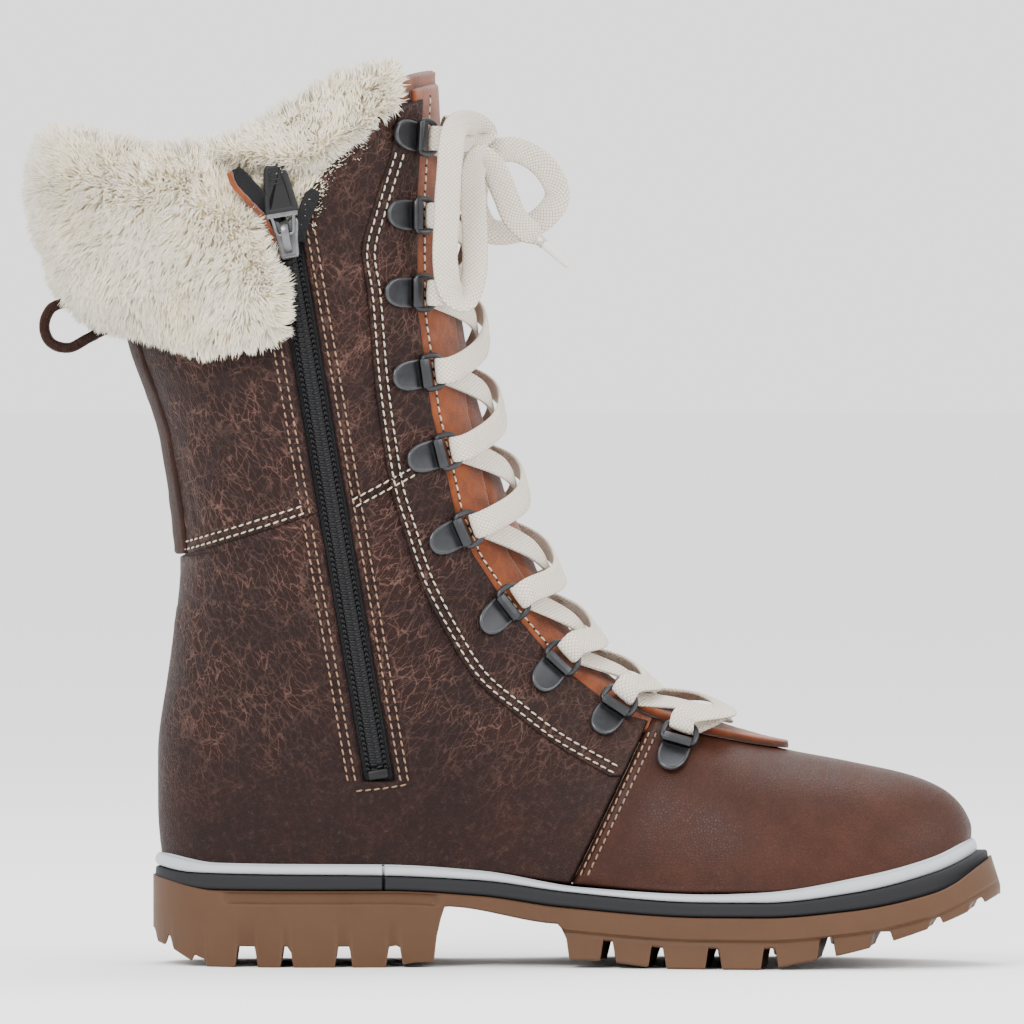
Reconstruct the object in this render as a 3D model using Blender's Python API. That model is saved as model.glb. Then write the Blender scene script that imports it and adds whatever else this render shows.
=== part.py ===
# A left insulated winter boot: lace-up front, side zip, shearling lining and cuff, lugged sole.
# The toe points along +X, +Z is up, and -Y is the inner (medial) side, which carries the zip.
# The origin is the ground point under the middle of the heel.
import math

import bmesh
import bpy
import numpy as np
from mathutils import Vector

for old in list(bpy.data.objects):
    bpy.data.objects.remove(old, do_unlink=True)

MM = 0.001
MEDIAL, LATERAL = -1, 1

# Everything below is in millimetres, as (x, z) or (z, value), until a mesh is made.
TOE_X = 227.0
HEEL_X = -46.5
CUFF_Z = 262.0
LEATHER = 1.9
GAP = 0.3
LINING_OUT, LINING_IN = -4.2, -9.6
HEEL_POWER, ARCH_POWER, SHAFT_POWER, TOE_POWER = 2.2, 2.2, 2.1, 2.8
BALL_X = 150.0
SPINE_X = 5.0

BACK = [
    (30, -44.5), (52, -46.5), (70, -46.6), (102, -42.4), (132, -39.0), (176, -44.0),
    (213, -55.5), (262, -61.0),
    (300, -62.0),
]
FRONT = [
    (227.0, 40.0), (227.0, 45.5), (224.6, 52.0), (218.0, 58.8), (206.0, 64.0), (186.0, 68.4),
    (163.0, 72.6),
    (136.0, 80.5), (119.0, 88.5), (99.0, 105.3), (87.0, 122.0), (74.0, 151.8), (66.0, 175.0),
    (59.0, 203.0),
    (53.5, 240.0), (49.5, 275.0), (48.0, 300.0), (47.0, 322.0),
]
RAND_TOP = [
    (-50, 38.6), (-44, 37.8), (-26, 34.7), (30, 34.3), (62, 32.3), (96, 26.9), (136, 24.9),
    (156, 25.6), (190, 31.0),
    (213, 37.0), (230, 45.6), (240, 51.0),
]
WELT_TOP = [
    (-50, 34.6), (-33, 31.3), (28, 30.6), (62, 29.0), (92, 25.2), (136, 22.2), (156, 22.2),
    (186, 25.4), (213, 32.0),
    (232, 40.6), (240, 44.5),
]
SOLE_TOP = [
    (-50, 30.4), (-26, 25.6), (30, 25.6), (62, 23.9), (89, 20.2), (136, 17.2), (156, 17.2),
    (186, 19.5), (213, 25.0),
    (232, 34.2), (240, 38.5),
]
SHAFT_WIDTH = [(60, 33.5), (300, 51.8)]
OUTER_WIDTH = [
    (-50, 31.5), (5, 32.5), (40, 34.0), (75, 38.0), (110, 45.0), (150, 50.5), (190, 50.0), (240, 46.0),
]
INNER_WIDTH = [
    (-50, 31.5), (5, 32.5), (40, 31.0), (75, 31.5), (110, 37.5), (150, 44.0), (190, 40.0), (240, 36.0),
]

# Each ring runs from the back of the leg to the front: its share of the height at the back, and the
# length along the front outline, counted from the toe.
RING_BACK = [
    (0.0, 35.0), (0.2, 60.0), (0.4, 92.0), (0.6, 132.0), (0.8, 195.0), (1.0, CUFF_Z), (1.1, 292.0),
]
RING_FRONT = [
    (0.0, 2.0), (0.2, 48.0), (0.4, 127.0), (0.6, 198.0), (0.8, 262.0), (1.0, 349.0), (1.1, 372.0),
]

# Front edge of the quarters: up the vamp seam, then back along the throat.
THROAT = [
    (20.0, 88.7), (27.6, 92.2), (81.8, 118.6), (83.5, 112.0), (86.5, 107.0), (102.0, 87.2), (122.2, 70.3),
    (138.0, 59.9), (152.4, 53.8), (166.2, 50.8), (185.4, 46.1), (206.9, 43.1), (220.0, 41.3),
    (257.0, 41.1), (320.0, 44.6),
]
SEAM_FOOT, SEAM_TOP = (27.6, 92.2), (88.0, 121.6)

STRAP_HALF, STRAP_SHEET = 6.0, 3.4
ZIP_FOOT, ZIP_TOP = (27.6, 66.0), (-3.7, 251.7)
ZIP_SLOT = 5.0
PULLER_SHEET = 1.8
ZIP_END = 62.0
STAY_END = 137.0
STAY_HALF = 0.36

# The lace rings: their heights, the ring's wire radius, bow and lean, and the folded plate that holds it
EYELETS = [278.0, 251.7, 225.8, 198.9, 172.0, 145.5, 120.0, 100.5, 85.5, 74.0]
LOWEST = 80.0
RING_WIRE = 1.1
RING_BOW, RING_LEAN = 7.8, math.radians(12)
BARREL_HALF = 4.4
RING_SIDES = 5
PLATE_SHEET = 0.8
SLEEVE = RING_WIRE + 0.35

# The lace, and the bow in front of the throat: each end's points run from its top ring
LACE_R = 1.3
LACE_WRAP = 3.25
LACE_LOW, LACE_HIGH = 3.4, 6.8
INNER_BOW = [
    (53.0, -20.0, 277.0), (59.0, -9.0, 277.0), (63.5, -1.5, 279.0), (60.5, -8.0, 282.0),
    (55.5, -22.0, 282.5),
    (53.0, -34.0, 278.5), (51.8, -40.0, 268.0), (50.8, -42.0, 250.0), (50.4, -41.0, 236.0),
    (52.5, -38.0, 226.0),
    (56.8, -34.5, 223.5), (59.8, -32.0, 231.0), (60.3, -29.0, 244.0), (59.8, -25.0, 257.0),
    (60.0, -16.0, 268.0),
    (63.0, -8.5, 271.0), (67.0, -8.5, 266.5), (70.5, -10.5, 258.5), (74.0, -12.0, 250.5),
    (83.5, -15.0, 242.0),
]
OUTER_BOW = [
    (54.0, 19.0, 277.5), (59.5, 9.0, 274.5), (66.0, 2.5, 273.5), (74.5, 7.0, 273.5), (83.5, 11.0, 268.0),
    (88.0, 12.0, 258.5), (83.5, 10.0, 251.0), (74.5, 7.0, 246.5), (65.0, 4.5, 246.5), (60.5, 3.5, 254.0),
    (60.5, 3.5, 264.5), (56.5, 6.5, 271.5), (55.5, 12.0, 281.5), (53.5, 24.0, 284.0), (51.5, 35.0, 274.0),
    (50.0, 42.0, 257.0), (49.5, 44.0, 241.0), (48.5, 44.5, 228.0),
]


def smoothstep(value, low, high):
    t = min(max((value - low) / (high - low), 0.0), 1.0)
    return t * t * (3 - 2 * t)


def mix(a, b, t):
    return a + (b - a) * t


def smooth_line(points):
    """A curve through the points that never overshoots between two of them."""
    a = np.array([p[0] for p in points], float)
    b = np.array([p[1] for p in points], float)
    step = np.diff(a)
    rise = np.diff(b) / step
    slope = np.concatenate([rise[:1], np.zeros(len(a) - 2), rise[-1:]])
    for k in range(1, len(a) - 1):
        if rise[k - 1] * rise[k] > 0:
            slope[k] = 2 / (1 / rise[k - 1] + 1 / rise[k])

    def value(at):
        at = min(max(at, a[0]), a[-1])
        k = min(int(np.searchsorted(a, at, side="right")) - 1, len(a) - 2)
        t = (at - a[k]) / step[k]
        start = b[k] * (1 + 2 * t) * (1 - t) ** 2 + slope[k] * step[k] * t * (1 - t) ** 2
        end = b[k + 1] * t * t * (3 - 2 * t) + slope[k + 1] * step[k] * t * t * (t - 1)
        return start + end

    return value


def along(points):
    """The outline as a smooth curve of (x, z), with the length to each of its samples."""
    chord = np.concatenate([[0], np.cumsum([math.dist(p, q) for p, q in zip(points, points[1:])])])
    xs = smooth_line([(c, p[0]) for c, p in zip(chord, points)])
    zs = smooth_line([(c, p[1]) for c, p in zip(chord, points)])
    samples = [(xs(c), zs(c)) for c in np.linspace(0, chord[-1], 400)]
    length = np.concatenate([[0], np.cumsum([math.dist(p, q) for p, q in zip(samples, samples[1:])])])
    return np.array(samples), length


back_x = smooth_line(BACK)
front_samples, front_length = along(FRONT)
rand_top = smooth_line(RAND_TOP)
welt_top = smooth_line(WELT_TOP)
sole_top = smooth_line(SOLE_TOP)
shaft_width = smooth_line(SHAFT_WIDTH)
outer_width = smooth_line(OUTER_WIDTH)
inner_width = smooth_line(INNER_WIDTH)
ring_back = smooth_line(RING_BACK)
ring_front = smooth_line(RING_FRONT)


def last_z(x):
    return welt_top(x) + 0.2


def front_x(z):
    return float(np.interp(z, front_samples[:, 1], front_samples[:, 0]))


def ridge_z(x):
    rising = front_samples[front_samples[:, 1] >= 45.5]
    return float(np.interp(-x, -rising[:, 0], rising[:, 1]))


def centre_y(x):
    """The middle of the foot swings to the inner side towards the toe."""
    return -14.4 * smoothstep(x, 80.0, 260.0)


def foot_width(x, side):
    return inner_width(x) if side < 0 else outer_width(x)


def width_squared(x, z, side):
    """The square of the leather's half width at a point of the side view: zero on its outline."""
    toe = 1 - max((x - BALL_X) / (TOE_X - BALL_X), 0) ** TOE_POWER
    foot = foot_width(x, side) ** 2 * toe
    leg = smoothstep(z, 30, 95) * (1 - smoothstep(x, 90, 150))
    widest = mix(foot, shaft_width(z) ** 2, leg)
    spine = SPINE_X - 10 * smoothstep(z, 200, 300)
    if x < spine:
        return widest * (1 - ((spine - x) / (spine - back_x(z))) ** HEEL_POWER)
    height = max((z - last_z(x)) / (ridge_z(x) - last_z(x)), 0)
    arch = 1 - height**ARCH_POWER * smoothstep(x, spine, 60)
    tube = 1 - ((x - spine) / (front_x(z) - spine)) ** SHAFT_POWER
    return widest * mix(arch, tube, smoothstep(z, 60, 110))


def ring_point(h, turn):
    """(x, z) on ring h, where turn runs from 0 at the back to pi at the front."""
    share = (1 - math.cos(turn)) / 2
    low = ring_back(h)
    reach = ring_front(h)
    front = [float(np.interp(reach, front_length, front_samples[:, k])) for k in (0, 1)]
    x = mix(back_x(low), front[0], share)
    z = mix(low, front[1], share)
    base_x = mix(HEEL_X, TOE_X, share)
    sag = last_z(base_x) - mix(last_z(HEEL_X), last_z(TOE_X), share)
    return x, z + sag * max(1 - h / 0.35, 0) ** 1.5


def surface(h, angle, offset=0.0):
    """A point and normal of the upper. Angle 0 is the back, 0 to pi the inner side, below 0 the outer."""
    angle = (angle + math.pi) % (2 * math.pi) - math.pi
    side = MEDIAL if angle >= 0 else LATERAL
    x, z = ring_point(h, abs(angle))
    half = math.sqrt(max(width_squared(x, z, side), 0))
    at_end = abs(math.sin(angle)) < 1e-6
    y = 0.0 if at_end else side * half
    d = 0.2
    by_x = (width_squared(x + d, z, side) - width_squared(x - d, z, side)) / (2 * d)
    by_z = (width_squared(x, z + d, side) - width_squared(x, z - d, side)) / (2 * d)
    turn = (centre_y(x + d) - centre_y(x - d)) / (2 * d)
    normal = Vector((-2 * y * turn - by_x, 2 * y, -by_z)).normalized()
    return Vector((x, centre_y(x) + y, z)) + normal * offset, normal


def angle_where(h, line):
    """The angle on ring h at which x reaches line(z), measured from the back."""
    low, high = 0.0, math.pi
    for _ in range(40):
        middle = (low + high) / 2
        x, z = ring_point(h, middle)
        if x < line(z):
            low = middle
        else:
            high = middle
    return (low + high) / 2


def ring_where(test):
    """The lowest ring for which test(h) is not negative."""
    low, high = 0.0, 1.1
    for _ in range(40):
        middle = (low + high) / 2
        if test(middle) < 0:
            low = middle
        else:
            high = middle
    return (low + high) / 2


def straight(first, second):
    """x as a function of z along the line through two (x, z) points."""
    slope = (second[0] - first[0]) / (second[1] - first[1])
    return lambda z: first[0] + (z - first[1]) * slope


def shifted(line, amount):
    return lambda z: line(z) + amount


def throat_x(z):
    return float(np.interp(z, [p[0] for p in THROAT], [p[1] for p in THROAT]))


zip_x = straight(ZIP_FOOT, ZIP_TOP)
seam_x = straight((SEAM_FOOT[1], SEAM_FOOT[0]), (SEAM_TOP[1], SEAM_TOP[0]))

MATERIALS = {
    "brown_leather": ((0.105, 0.045, 0.026), 0.5, 0.0),
    "tan_suede": ((0.36, 0.145, 0.045), 0.9, 0.0),
    "shearling": ((0.86, 0.80, 0.68), 0.95, 0.0),
    "gum_rubber": ((0.40, 0.22, 0.10), 0.6, 0.0),
    "black_rubber": ((0.022, 0.022, 0.023), 0.7, 0.0),
    "grey_rubber": ((0.48, 0.50, 0.52), 0.55, 0.0),
    "black_nylon": ((0.015, 0.015, 0.016), 0.6, 0.0),
    "gunmetal": ((0.13, 0.13, 0.135), 0.4, 1.0),
    "cotton_lace": ((0.76, 0.69, 0.58), 0.9, 0.0),
    "fibre_board": ((0.45, 0.34, 0.22), 0.85, 0.0),
}


def material(name):
    found = bpy.data.materials.get(name)
    if found:
        return found
    colour, roughness, metallic = MATERIALS[name]
    made = bpy.data.materials.new(name)
    made.use_nodes = True
    shader = made.node_tree.nodes["Principled BSDF"]
    shader.inputs["Base Color"].default_value = (*colour, 1)
    shader.inputs["Roughness"].default_value = roughness
    shader.inputs["Metallic"].default_value = metallic
    return made


def add_object(name, points, faces, slot, pivot=(0, 0, 0), smooth=0.6):
    """One closed body from points in millimetres. Its origin is put at pivot."""
    mesh = bpy.data.meshes.new(name)
    at = Vector(pivot)
    mesh.from_pydata([(Vector(p) - at) * MM for p in points], [], faces)
    work = bmesh.new()
    work.from_mesh(mesh)
    bmesh.ops.remove_doubles(work, verts=work.verts, dist=1e-7)
    bmesh.ops.triangulate(work, faces=work.faces)
    bmesh.ops.recalc_face_normals(work, faces=work.faces)
    if work.calc_volume(signed=True) < 0:
        bmesh.ops.reverse_faces(work, faces=work.faces)
    work.to_mesh(mesh)
    work.free()
    mesh.shade_smooth()
    mesh.set_sharp_from_angle(angle=smooth)
    mesh.materials.append(material(slot))
    made = bpy.data.objects.new(name, mesh)
    made.location = at * MM
    bpy.context.scene.collection.objects.link(made)
    return made


def add_shell(name, outer, inner, slot, keep=None, wrap=False):
    """A sheet between two grids of points, open where keep(row, column) is false."""
    rows, columns = len(outer), len(outer[0])
    spans = columns if wrap else columns - 1
    cells = {(i, j) for i in range(rows - 1) for j in range(spans) if keep is None or keep(i, j)}
    points = [p for row in outer for p in row] + [p for row in inner for p in row]
    half = rows * columns

    def corner(i, j):
        return i * columns + j % columns

    faces = []
    for i, j in cells:
        a, b, c, d = corner(i, j), corner(i, j + 1), corner(i + 1, j + 1), corner(i + 1, j)
        faces.append((a, b, c, d))
        faces.append((d + half, c + half, b + half, a + half))
        beside = {(i - 1, j): (a, b), (i + 1, j): (c, d)}
        beside[(i, (j - 1) % spans if wrap else j - 1)] = (d, a)
        beside[(i, (j + 1) % spans if wrap else j + 1)] = (b, c)
        for other, (p, q) in beside.items():
            if other not in cells:
                faces.append((q, p, p + half, q + half))
    used = sorted({k for face in faces for k in face})
    place = {k: n for n, k in enumerate(used)}
    return add_object(name, [points[k] for k in used], [[place[k] for k in face] for face in faces], slot)


def grid(rings, angles_of, offset):
    """Points of the upper for each ring and each of its angles, moved out by offset(h, angle)."""
    return [[surface(h, a, offset(h, a))[0] for a in angles_of(h)] for h in rings]


def spread(stops, counts):
    """Evenly spaced values between the stops, with counts spans in each stretch."""
    values = [stops[0]]
    for low, high, count in zip(stops, stops[1:], counts):
        values += [mix(low, high, k / count) for k in range(1, count + 1)]
    return values


def level(amount):
    return lambda h, a: amount


def lofted(name, rings, slot):
    """A solid through closed loops of points that each run down one side and back up the other."""
    count = len(rings[0])
    points = [p for ring in rings for p in ring]
    faces = []
    for i in range(len(rings) - 1):
        for j in range(count):
            k = (j + 1) % count
            faces.append((i * count + j, i * count + k, (i + 1) * count + k, (i + 1) * count + j))
    top = (len(rings) - 1) * count
    for start in (0, top):
        for j in range(count // 2):
            far = (start + (count - j - 1) % count, start + (count - j) % count)
            pair = (start + j, start + j + 1, *far)
            faces.append(tuple(dict.fromkeys(pair)))
    return add_object(name, points, faces, slot)


# Rings that the leather is sampled on
ring_zip_end = ring_where(lambda h: ring_point(h, angle_where(h, zip_x))[1] - ZIP_END)
ring_stay_end = ring_where(lambda h: ring_back(h) - STAY_END)
ring_corner = ring_where(lambda h: ring_point(h, angle_where(h, throat_x))[1] - 81.8)
ring_vamp = ring_where(lambda h: 126.0 - ring_point(h, math.pi)[0])
CHEST = [0.0, 0.05, 0.12, 0.2, 0.27]
LEG = spread([0.52, ring_stay_end, 1.0], [2, 7])
corner = [ring_corner, ring_corner + 0.02, ring_corner + 0.05]
rings = sorted(set(CHEST + [ring_zip_end] + corner + [0.46] + LEG))


def quarter_edge(h):
    return angle_where(h, shifted(throat_x, -GAP))


def stay_edge(h):
    """Half the angle that is kept for the backstay: it runs out below the strip's foot."""
    return STAY_HALF if h > 0.5 else 0.2


def add_quarters():
    """The two side panels. The inner one is open along the zip, and both stop at the backstay."""
    first = rings.index(ring_stay_end)
    slot_row = rings.index(ring_zip_end)

    def medial_angles(h):
        rear = angle_where(h, shifted(zip_x, -ZIP_SLOT))
        fore = angle_where(h, shifted(zip_x, ZIP_SLOT))
        return spread([0.004, stay_edge(h) + 0.008, rear, fore, quarter_edge(h)], [2, 5, 1, 5])

    def lateral_angles(h):
        return spread([-0.004, -stay_edge(h) - 0.008, -quarter_edge(h)], [2, 11])

    def keep_medial(i, j):
        if j < 2:
            return i < first
        return i < slot_row if j == 7 else True

    def keep_lateral(i, j):
        return j > 1 or i < first

    for name, angles, keep in (
        ("quarter_medial", medial_angles, keep_medial),
        ("quarter_lateral", lateral_angles, keep_lateral),
    ):
        outer = grid(rings, angles, level(0.0))
        inner = grid(rings, angles, level(-LEATHER))
        add_shell(name, outer, inner, "brown_leather", keep)


def add_backstay():
    strip = [h for h in rings if h >= ring_stay_end]
    strip[0] += 0.003

    def angles(h):
        return spread([-stay_edge(h), stay_edge(h)], [4])

    top = grid(strip, angles, level(0.0))
    add_shell("backstay", top, grid(strip, angles, level(-LEATHER)), "brown_leather")


def add_vamp():
    levels = spread([0.0, 0.05, 0.2, ring_vamp], [1, 3, 4])

    def angles(h):
        edge = angle_where(h, shifted(seam_x, GAP))
        return spread([edge, math.pi, 2 * math.pi - edge], [7, 7])

    top = grid(levels, angles, level(0.0))
    add_shell("vamp", top, grid(levels, angles, level(-LEATHER)), "brown_leather")


def add_heel_counter():
    levels = [h for h in rings if h < 0.4]
    levels[0] += 0.01

    def angles(h):
        edge = mix(0.78, 1.0, h)
        return spread([-edge, edge], [12])

    top = grid(levels, angles, level(-2.5))
    add_shell("heel_counter", top, grid(levels, angles, level(-3.5)), "fibre_board")


def tongue_edge(h):
    """The lining stops this far round, where the tongue's wing takes over under the facing."""
    return angle_where(max(h, ring_vamp), shifted(throat_x, -12.0))


def add_lining():
    levels = sorted(rings + [ring_vamp + 0.02])
    split = levels.index(ring_vamp + 0.02)

    def angles(h):
        edge = tongue_edge(h)
        return spread([-edge, 0, edge, math.pi, 2 * math.pi - edge], [8, 8, 4, 4])[:-1]

    def keep(i, j):
        return i < split or j < 16

    outer = grid(levels, angles, level(LINING_OUT))
    inner = grid(levels, angles, level(LINING_IN))
    add_shell("lining", outer, inner, "shearling", keep, wrap=True)


def add_tongue():
    levels = spread([ring_vamp + 0.03, 0.52, 1.03], [3, 8])

    def angles(h):
        edge = tongue_edge(h) + 0.03
        free = angle_where(h, throat_x) + 0.03
        return spread([edge, free, math.pi, 2 * math.pi - free, 2 * math.pi - edge], [1, 3, 3, 1])

    def lift(h, a):
        turned = a if a < math.pi else 2 * math.pi - a
        bare = turned - angle_where(h, throat_x)
        return mix(-2.8, -0.4, smoothstep(bare, 0.04, 0.3) * smoothstep(h, 0.42, 0.5))

    add_shell("tongue", grid(levels, angles, lift), grid(levels, angles, level(-9.5)), "tan_suede")


def add_tongue_tip():
    """The rounded suede flap that the tongue ends in, lying on the vamp."""
    levels = spread([0.252, 0.37], [4])

    def angles(h):
        half = 0.13 + 0.16 * math.sqrt(max(smoothstep(h, 0.235, 0.33), 0))
        return spread([math.pi - half * 1.3, math.pi + half * 1.3], [4])

    top = grid(levels, angles, level(2.0))
    add_shell("tongue_tip", top, grid(levels, angles, level(0.4)), "tan_suede")


def plan_edge(x, side, margin, toe, heel):
    """Half the sole's width at x, for a sole that stands out by margin and ends at toe and heel."""
    half = foot_width(x, side) + margin
    if x > BALL_X:
        half *= math.sqrt(max(1 - ((x - BALL_X) / (toe - BALL_X)) ** TOE_POWER, 0))
    if x < SPINE_X:
        half *= math.sqrt(max(1 - ((SPINE_X - x) / (SPINE_X - heel)) ** HEEL_POWER, 0))
    return centre_y(x) + side * half


def plan_stations(toe, heel, count):
    return [mix(heel, toe, (1 - math.cos(math.pi * k / count)) / 2) for k in range(count + 1)]


def outline(margin, toe, heel, count, height):
    """A closed loop of the sole's edge: the inner side from heel to toe, then the outer side back."""
    stations = plan_stations(toe, heel, count)
    loop = [Vector((x, plan_edge(x, MEDIAL, margin, toe, heel), height(x))) for x in stations]
    loop += [Vector((x, plan_edge(x, LATERAL, margin, toe, heel), height(x))) for x in stations[-2:0:-1]]
    return loop


def add_midsole():
    low = outline(4.4, 232.8, -47.4, 28, lambda x: sole_top(x) + GAP)
    high = outline(4.0, 232.4, -47.2, 28, lambda x: welt_top(x) - GAP)
    lofted("midsole", [low, high], "black_rubber")


def add_rand():
    """A half-round strip that runs round the foot of the upper, on top of the midsole."""
    wide = [(0.6, 0.0), (2.4, 0.1), (3.1, 0.5), (2.4, 0.9), (0.6, 1.0)]
    loops = []
    for margin, share in wide:
        toe = TOE_X + 0.4 + margin * 0.75
        heel = HEEL_X - 0.2 - margin * 0.35

        def height(x, share=share):
            return mix(welt_top(x) + 0.05, rand_top(x), share)

        loops.append(outline(margin, toe, heel, 30, height))
    count = len(loops[0])
    points = [p for loop in loops for p in loop]
    faces = []
    for i in range(len(loops)):
        k = (i + 1) % len(loops)
        for j in range(count):
            n = (j + 1) % count
            faces.append((i * count + j, i * count + n, k * count + n, k * count + j))
    add_object("rand", points, faces, "grey_rubber")


# The ground line of the tread and the lugs along it, each as (back, front) of its flat bottom
GROUND = [
    (-50, 9.0), (-42, 6.0), (-34, 1.5), (-30, 0.0), (31, 0.0), (41, 1.7), (97, 2.6), (118, 0.6),
    (124, 0.0),
    (156, 0.0), (168, 2.0), (187, 5.9), (206, 11.4), (221, 16.9), (236, 24.0),
]
LUGS = [
    (-46.5, -43.5), (-41.0, -34.5), (-29.6, -19.9), (-12.5, -4.7), (-0.6, 13.5), (19.2, 30.6),
    (36.0, 46.6),
    (91.8, 102.3), (107.3, 118.4), (124.2, 137.3), (142.7, 155.8), (161.5, 174.6),
    (180.7, 192.5), (200.0, 211.8),
    (216.7, 225.5), (231.0, 235.6),
]
LUG_DEPTH = 7.0
DRAFT = 0.7
ARCH_SPAN = (50.0, 90.5)
GUM_TOE, GUM_HEEL, GUM_MARGIN = 236.9, -48.2, 5.0


def add_outsole():
    ground = smooth_line(GROUND)
    stations = []
    for k, (low, high) in enumerate(LUGS):
        flat = ground((low + high) / 2)
        deep = flat + min(LUG_DEPTH, sole_top((low + high) / 2) - flat - 4.5)
        if k and LUGS[k - 1][1] < ARCH_SPAN[0] < low:
            stations += [(ARCH_SPAN[0], 20.4), (mix(*ARCH_SPAN, 0.5), 18.4), (ARCH_SPAN[1], 14.6)]
        else:
            stations.append((low - DRAFT, deep))
        stations.append((low, flat))
        stations.append((high, flat))
        stations.append((high + DRAFT, deep))
    stations = [s for s in stations if GUM_HEEL + 1.0 < s[0] < GUM_TOE - 0.3]
    stations = [s for k, s in enumerate(stations) if k == 0 or s[0] > stations[k - 1][0]]
    stations = [(GUM_HEEL + 0.25, ground(GUM_HEEL) + 3)] + stations
    loops = []
    for x, low in stations:
        inner = plan_edge(x, MEDIAL, GUM_MARGIN, GUM_TOE, GUM_HEEL)
        outer = plan_edge(x, LATERAL, GUM_MARGIN, GUM_TOE, GUM_HEEL)
        top = sole_top(x)
        loops.append([(x, inner, low), (x, outer, low), (x, outer, top), (x, inner, top)])
    points = [p for loop in loops for p in loop]
    faces = [(0, 1, 2, 3), tuple(len(points) - 4 + k for k in (3, 2, 1, 0))]
    for i in range(len(loops) - 1):
        for j in range(4):
            k = (j + 1) % 4
            faces.append((i * 4 + j, i * 4 + k, i * 4 + 4 + k, i * 4 + 4 + j))
    add_object("outsole", points, faces, "gum_rubber", smooth=0.3)


def inside_loop(h, offset, count=14):
    angles = [math.pi * k / count for k in range(count + 1)]
    loop = [surface(h, a, offset)[0] for a in angles]
    return loop + [surface(h, -a, offset)[0] for a in angles[-2:0:-1]]


def add_insoles():
    board = [inside_loop(h, LINING_IN - 1.0) for h in (0.0, 0.018)]
    bed = [inside_loop(h, LINING_IN - 1.0) for h in (0.032, 0.058)]
    lofted("insole_board", board, "fibre_board")
    lofted("footbed", bed, "shearling")


# The cuff: folded down outside the leg round the back, and standing up towards the front
LOBE_END = 1.32
LOBE_LOW, LOBE_OVER_LOOP = 0.862, 0.905


def cuff_low(a):
    turned = abs(a)
    lobe = mix(LOBE_OVER_LOOP, LOBE_LOW, smoothstep(turned, 0.35, 0.75))
    return mix(lobe, 0.995, smoothstep(turned, LOBE_END - 0.12, LOBE_END + 0.03))


def cuff_out(h, a):
    """How far the fur stands out of the leather: a round lobe that thins where the cuff stands up."""
    share = (h - cuff_low(a)) / (1.06 - cuff_low(a))
    lobe = 9.0 + 15.0 * math.sin(math.pi * min(max(share, 0.05), 0.86)) ** 0.7
    upright = 3.0
    return mix(lobe, upright, smoothstep(abs(a), LOBE_END - 0.25, LOBE_END + 0.05))


def add_cuff():
    edge = tongue_edge(1.0) + 0.02
    stops = [-edge, -LOBE_END - 0.03, -LOBE_END + 0.15, LOBE_END - 0.15, LOBE_END + 0.03, edge]
    turns = spread(stops, [3, 2, 12, 2, 3])
    outer, inner = [], []
    for k in range(6):
        share = k / 5
        seats = [(mix(cuff_low(a), 1.003, share), a) for a in turns]
        outer.append([surface(h, a, cuff_out(h, a))[0] for h, a in seats])
        inner.append([surface(h, a, 1.2)[0] for h, a in seats])
    for h in (1.012, 1.04, 1.07):
        outer.append([surface(h, a, cuff_out(h, a) - 90 * max(h - 1.035, 0))[0] for a in turns])
        inner.append([surface(h, a, LINING_IN)[0] for a in turns])
    add_shell("cuff", outer, inner, "shearling")


def strip_sweep(path, across, widths, thickness):
    """A flat strap along a path of points in one plane: across is the direction of its width."""
    points = []
    last = len(path) - 1
    for k, at in enumerate(path):
        run = (path[min(k + 1, last)] - path[max(k - 1, 0)]).normalized()
        out = run.cross(across).normalized() * thickness / 2
        side = across * widths[k]
        points += [at + out - side, at + out + side, at - out + side, at - out - side]
    faces = [(0, 1, 2, 3), tuple(len(points) - 4 + k for k in (3, 2, 1, 0))]
    for i in range(last):
        for j in range(4):
            k = (j + 1) % 4
            faces.append((i * 4 + j, i * 4 + k, i * 4 + 4 + k, i * 4 + 4 + j))
    return points, faces


def add_pull_loop():
    """A leather strap doubled into a loop behind the heel seam, under the folded cuff."""
    back = Vector((back_x(214.0), 0, 214.0))
    shape = [
        (-1.0, 3.6), (-8.0, 3.4), (-14.5, 5.6), (-20.5, 8.2), (-26.5, 6.4), (-29.0, 0.6), (-27.0, -5.0),
        (-21.0, -7.0), (-14.0, -3.6), (-8.0, -0.8), (-1.0, -0.6),
    ]
    path = [back + Vector((x, 0, z)) for x, z in shape]
    points, faces = strip_sweep(path, Vector((0, 1, 0)), [STRAP_HALF] * len(path), STRAP_SHEET)
    add_object("pull_loop", points, faces, "brown_leather")


# The zip lies on one straight line of the inner side
def zip_frame():
    low = surface(ring_zip_end, angle_where(ring_zip_end, zip_x))[0]
    ring_top = ring_where(lambda h: ring_point(h, angle_where(h, zip_x))[1] - ZIP_TOP[1])
    high, normal = surface(ring_top, angle_where(ring_top, zip_x))
    up = (high - low).normalized()
    across = up.cross(normal).normalized()
    return low, high, up, across, across.cross(up).normalized()


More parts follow.
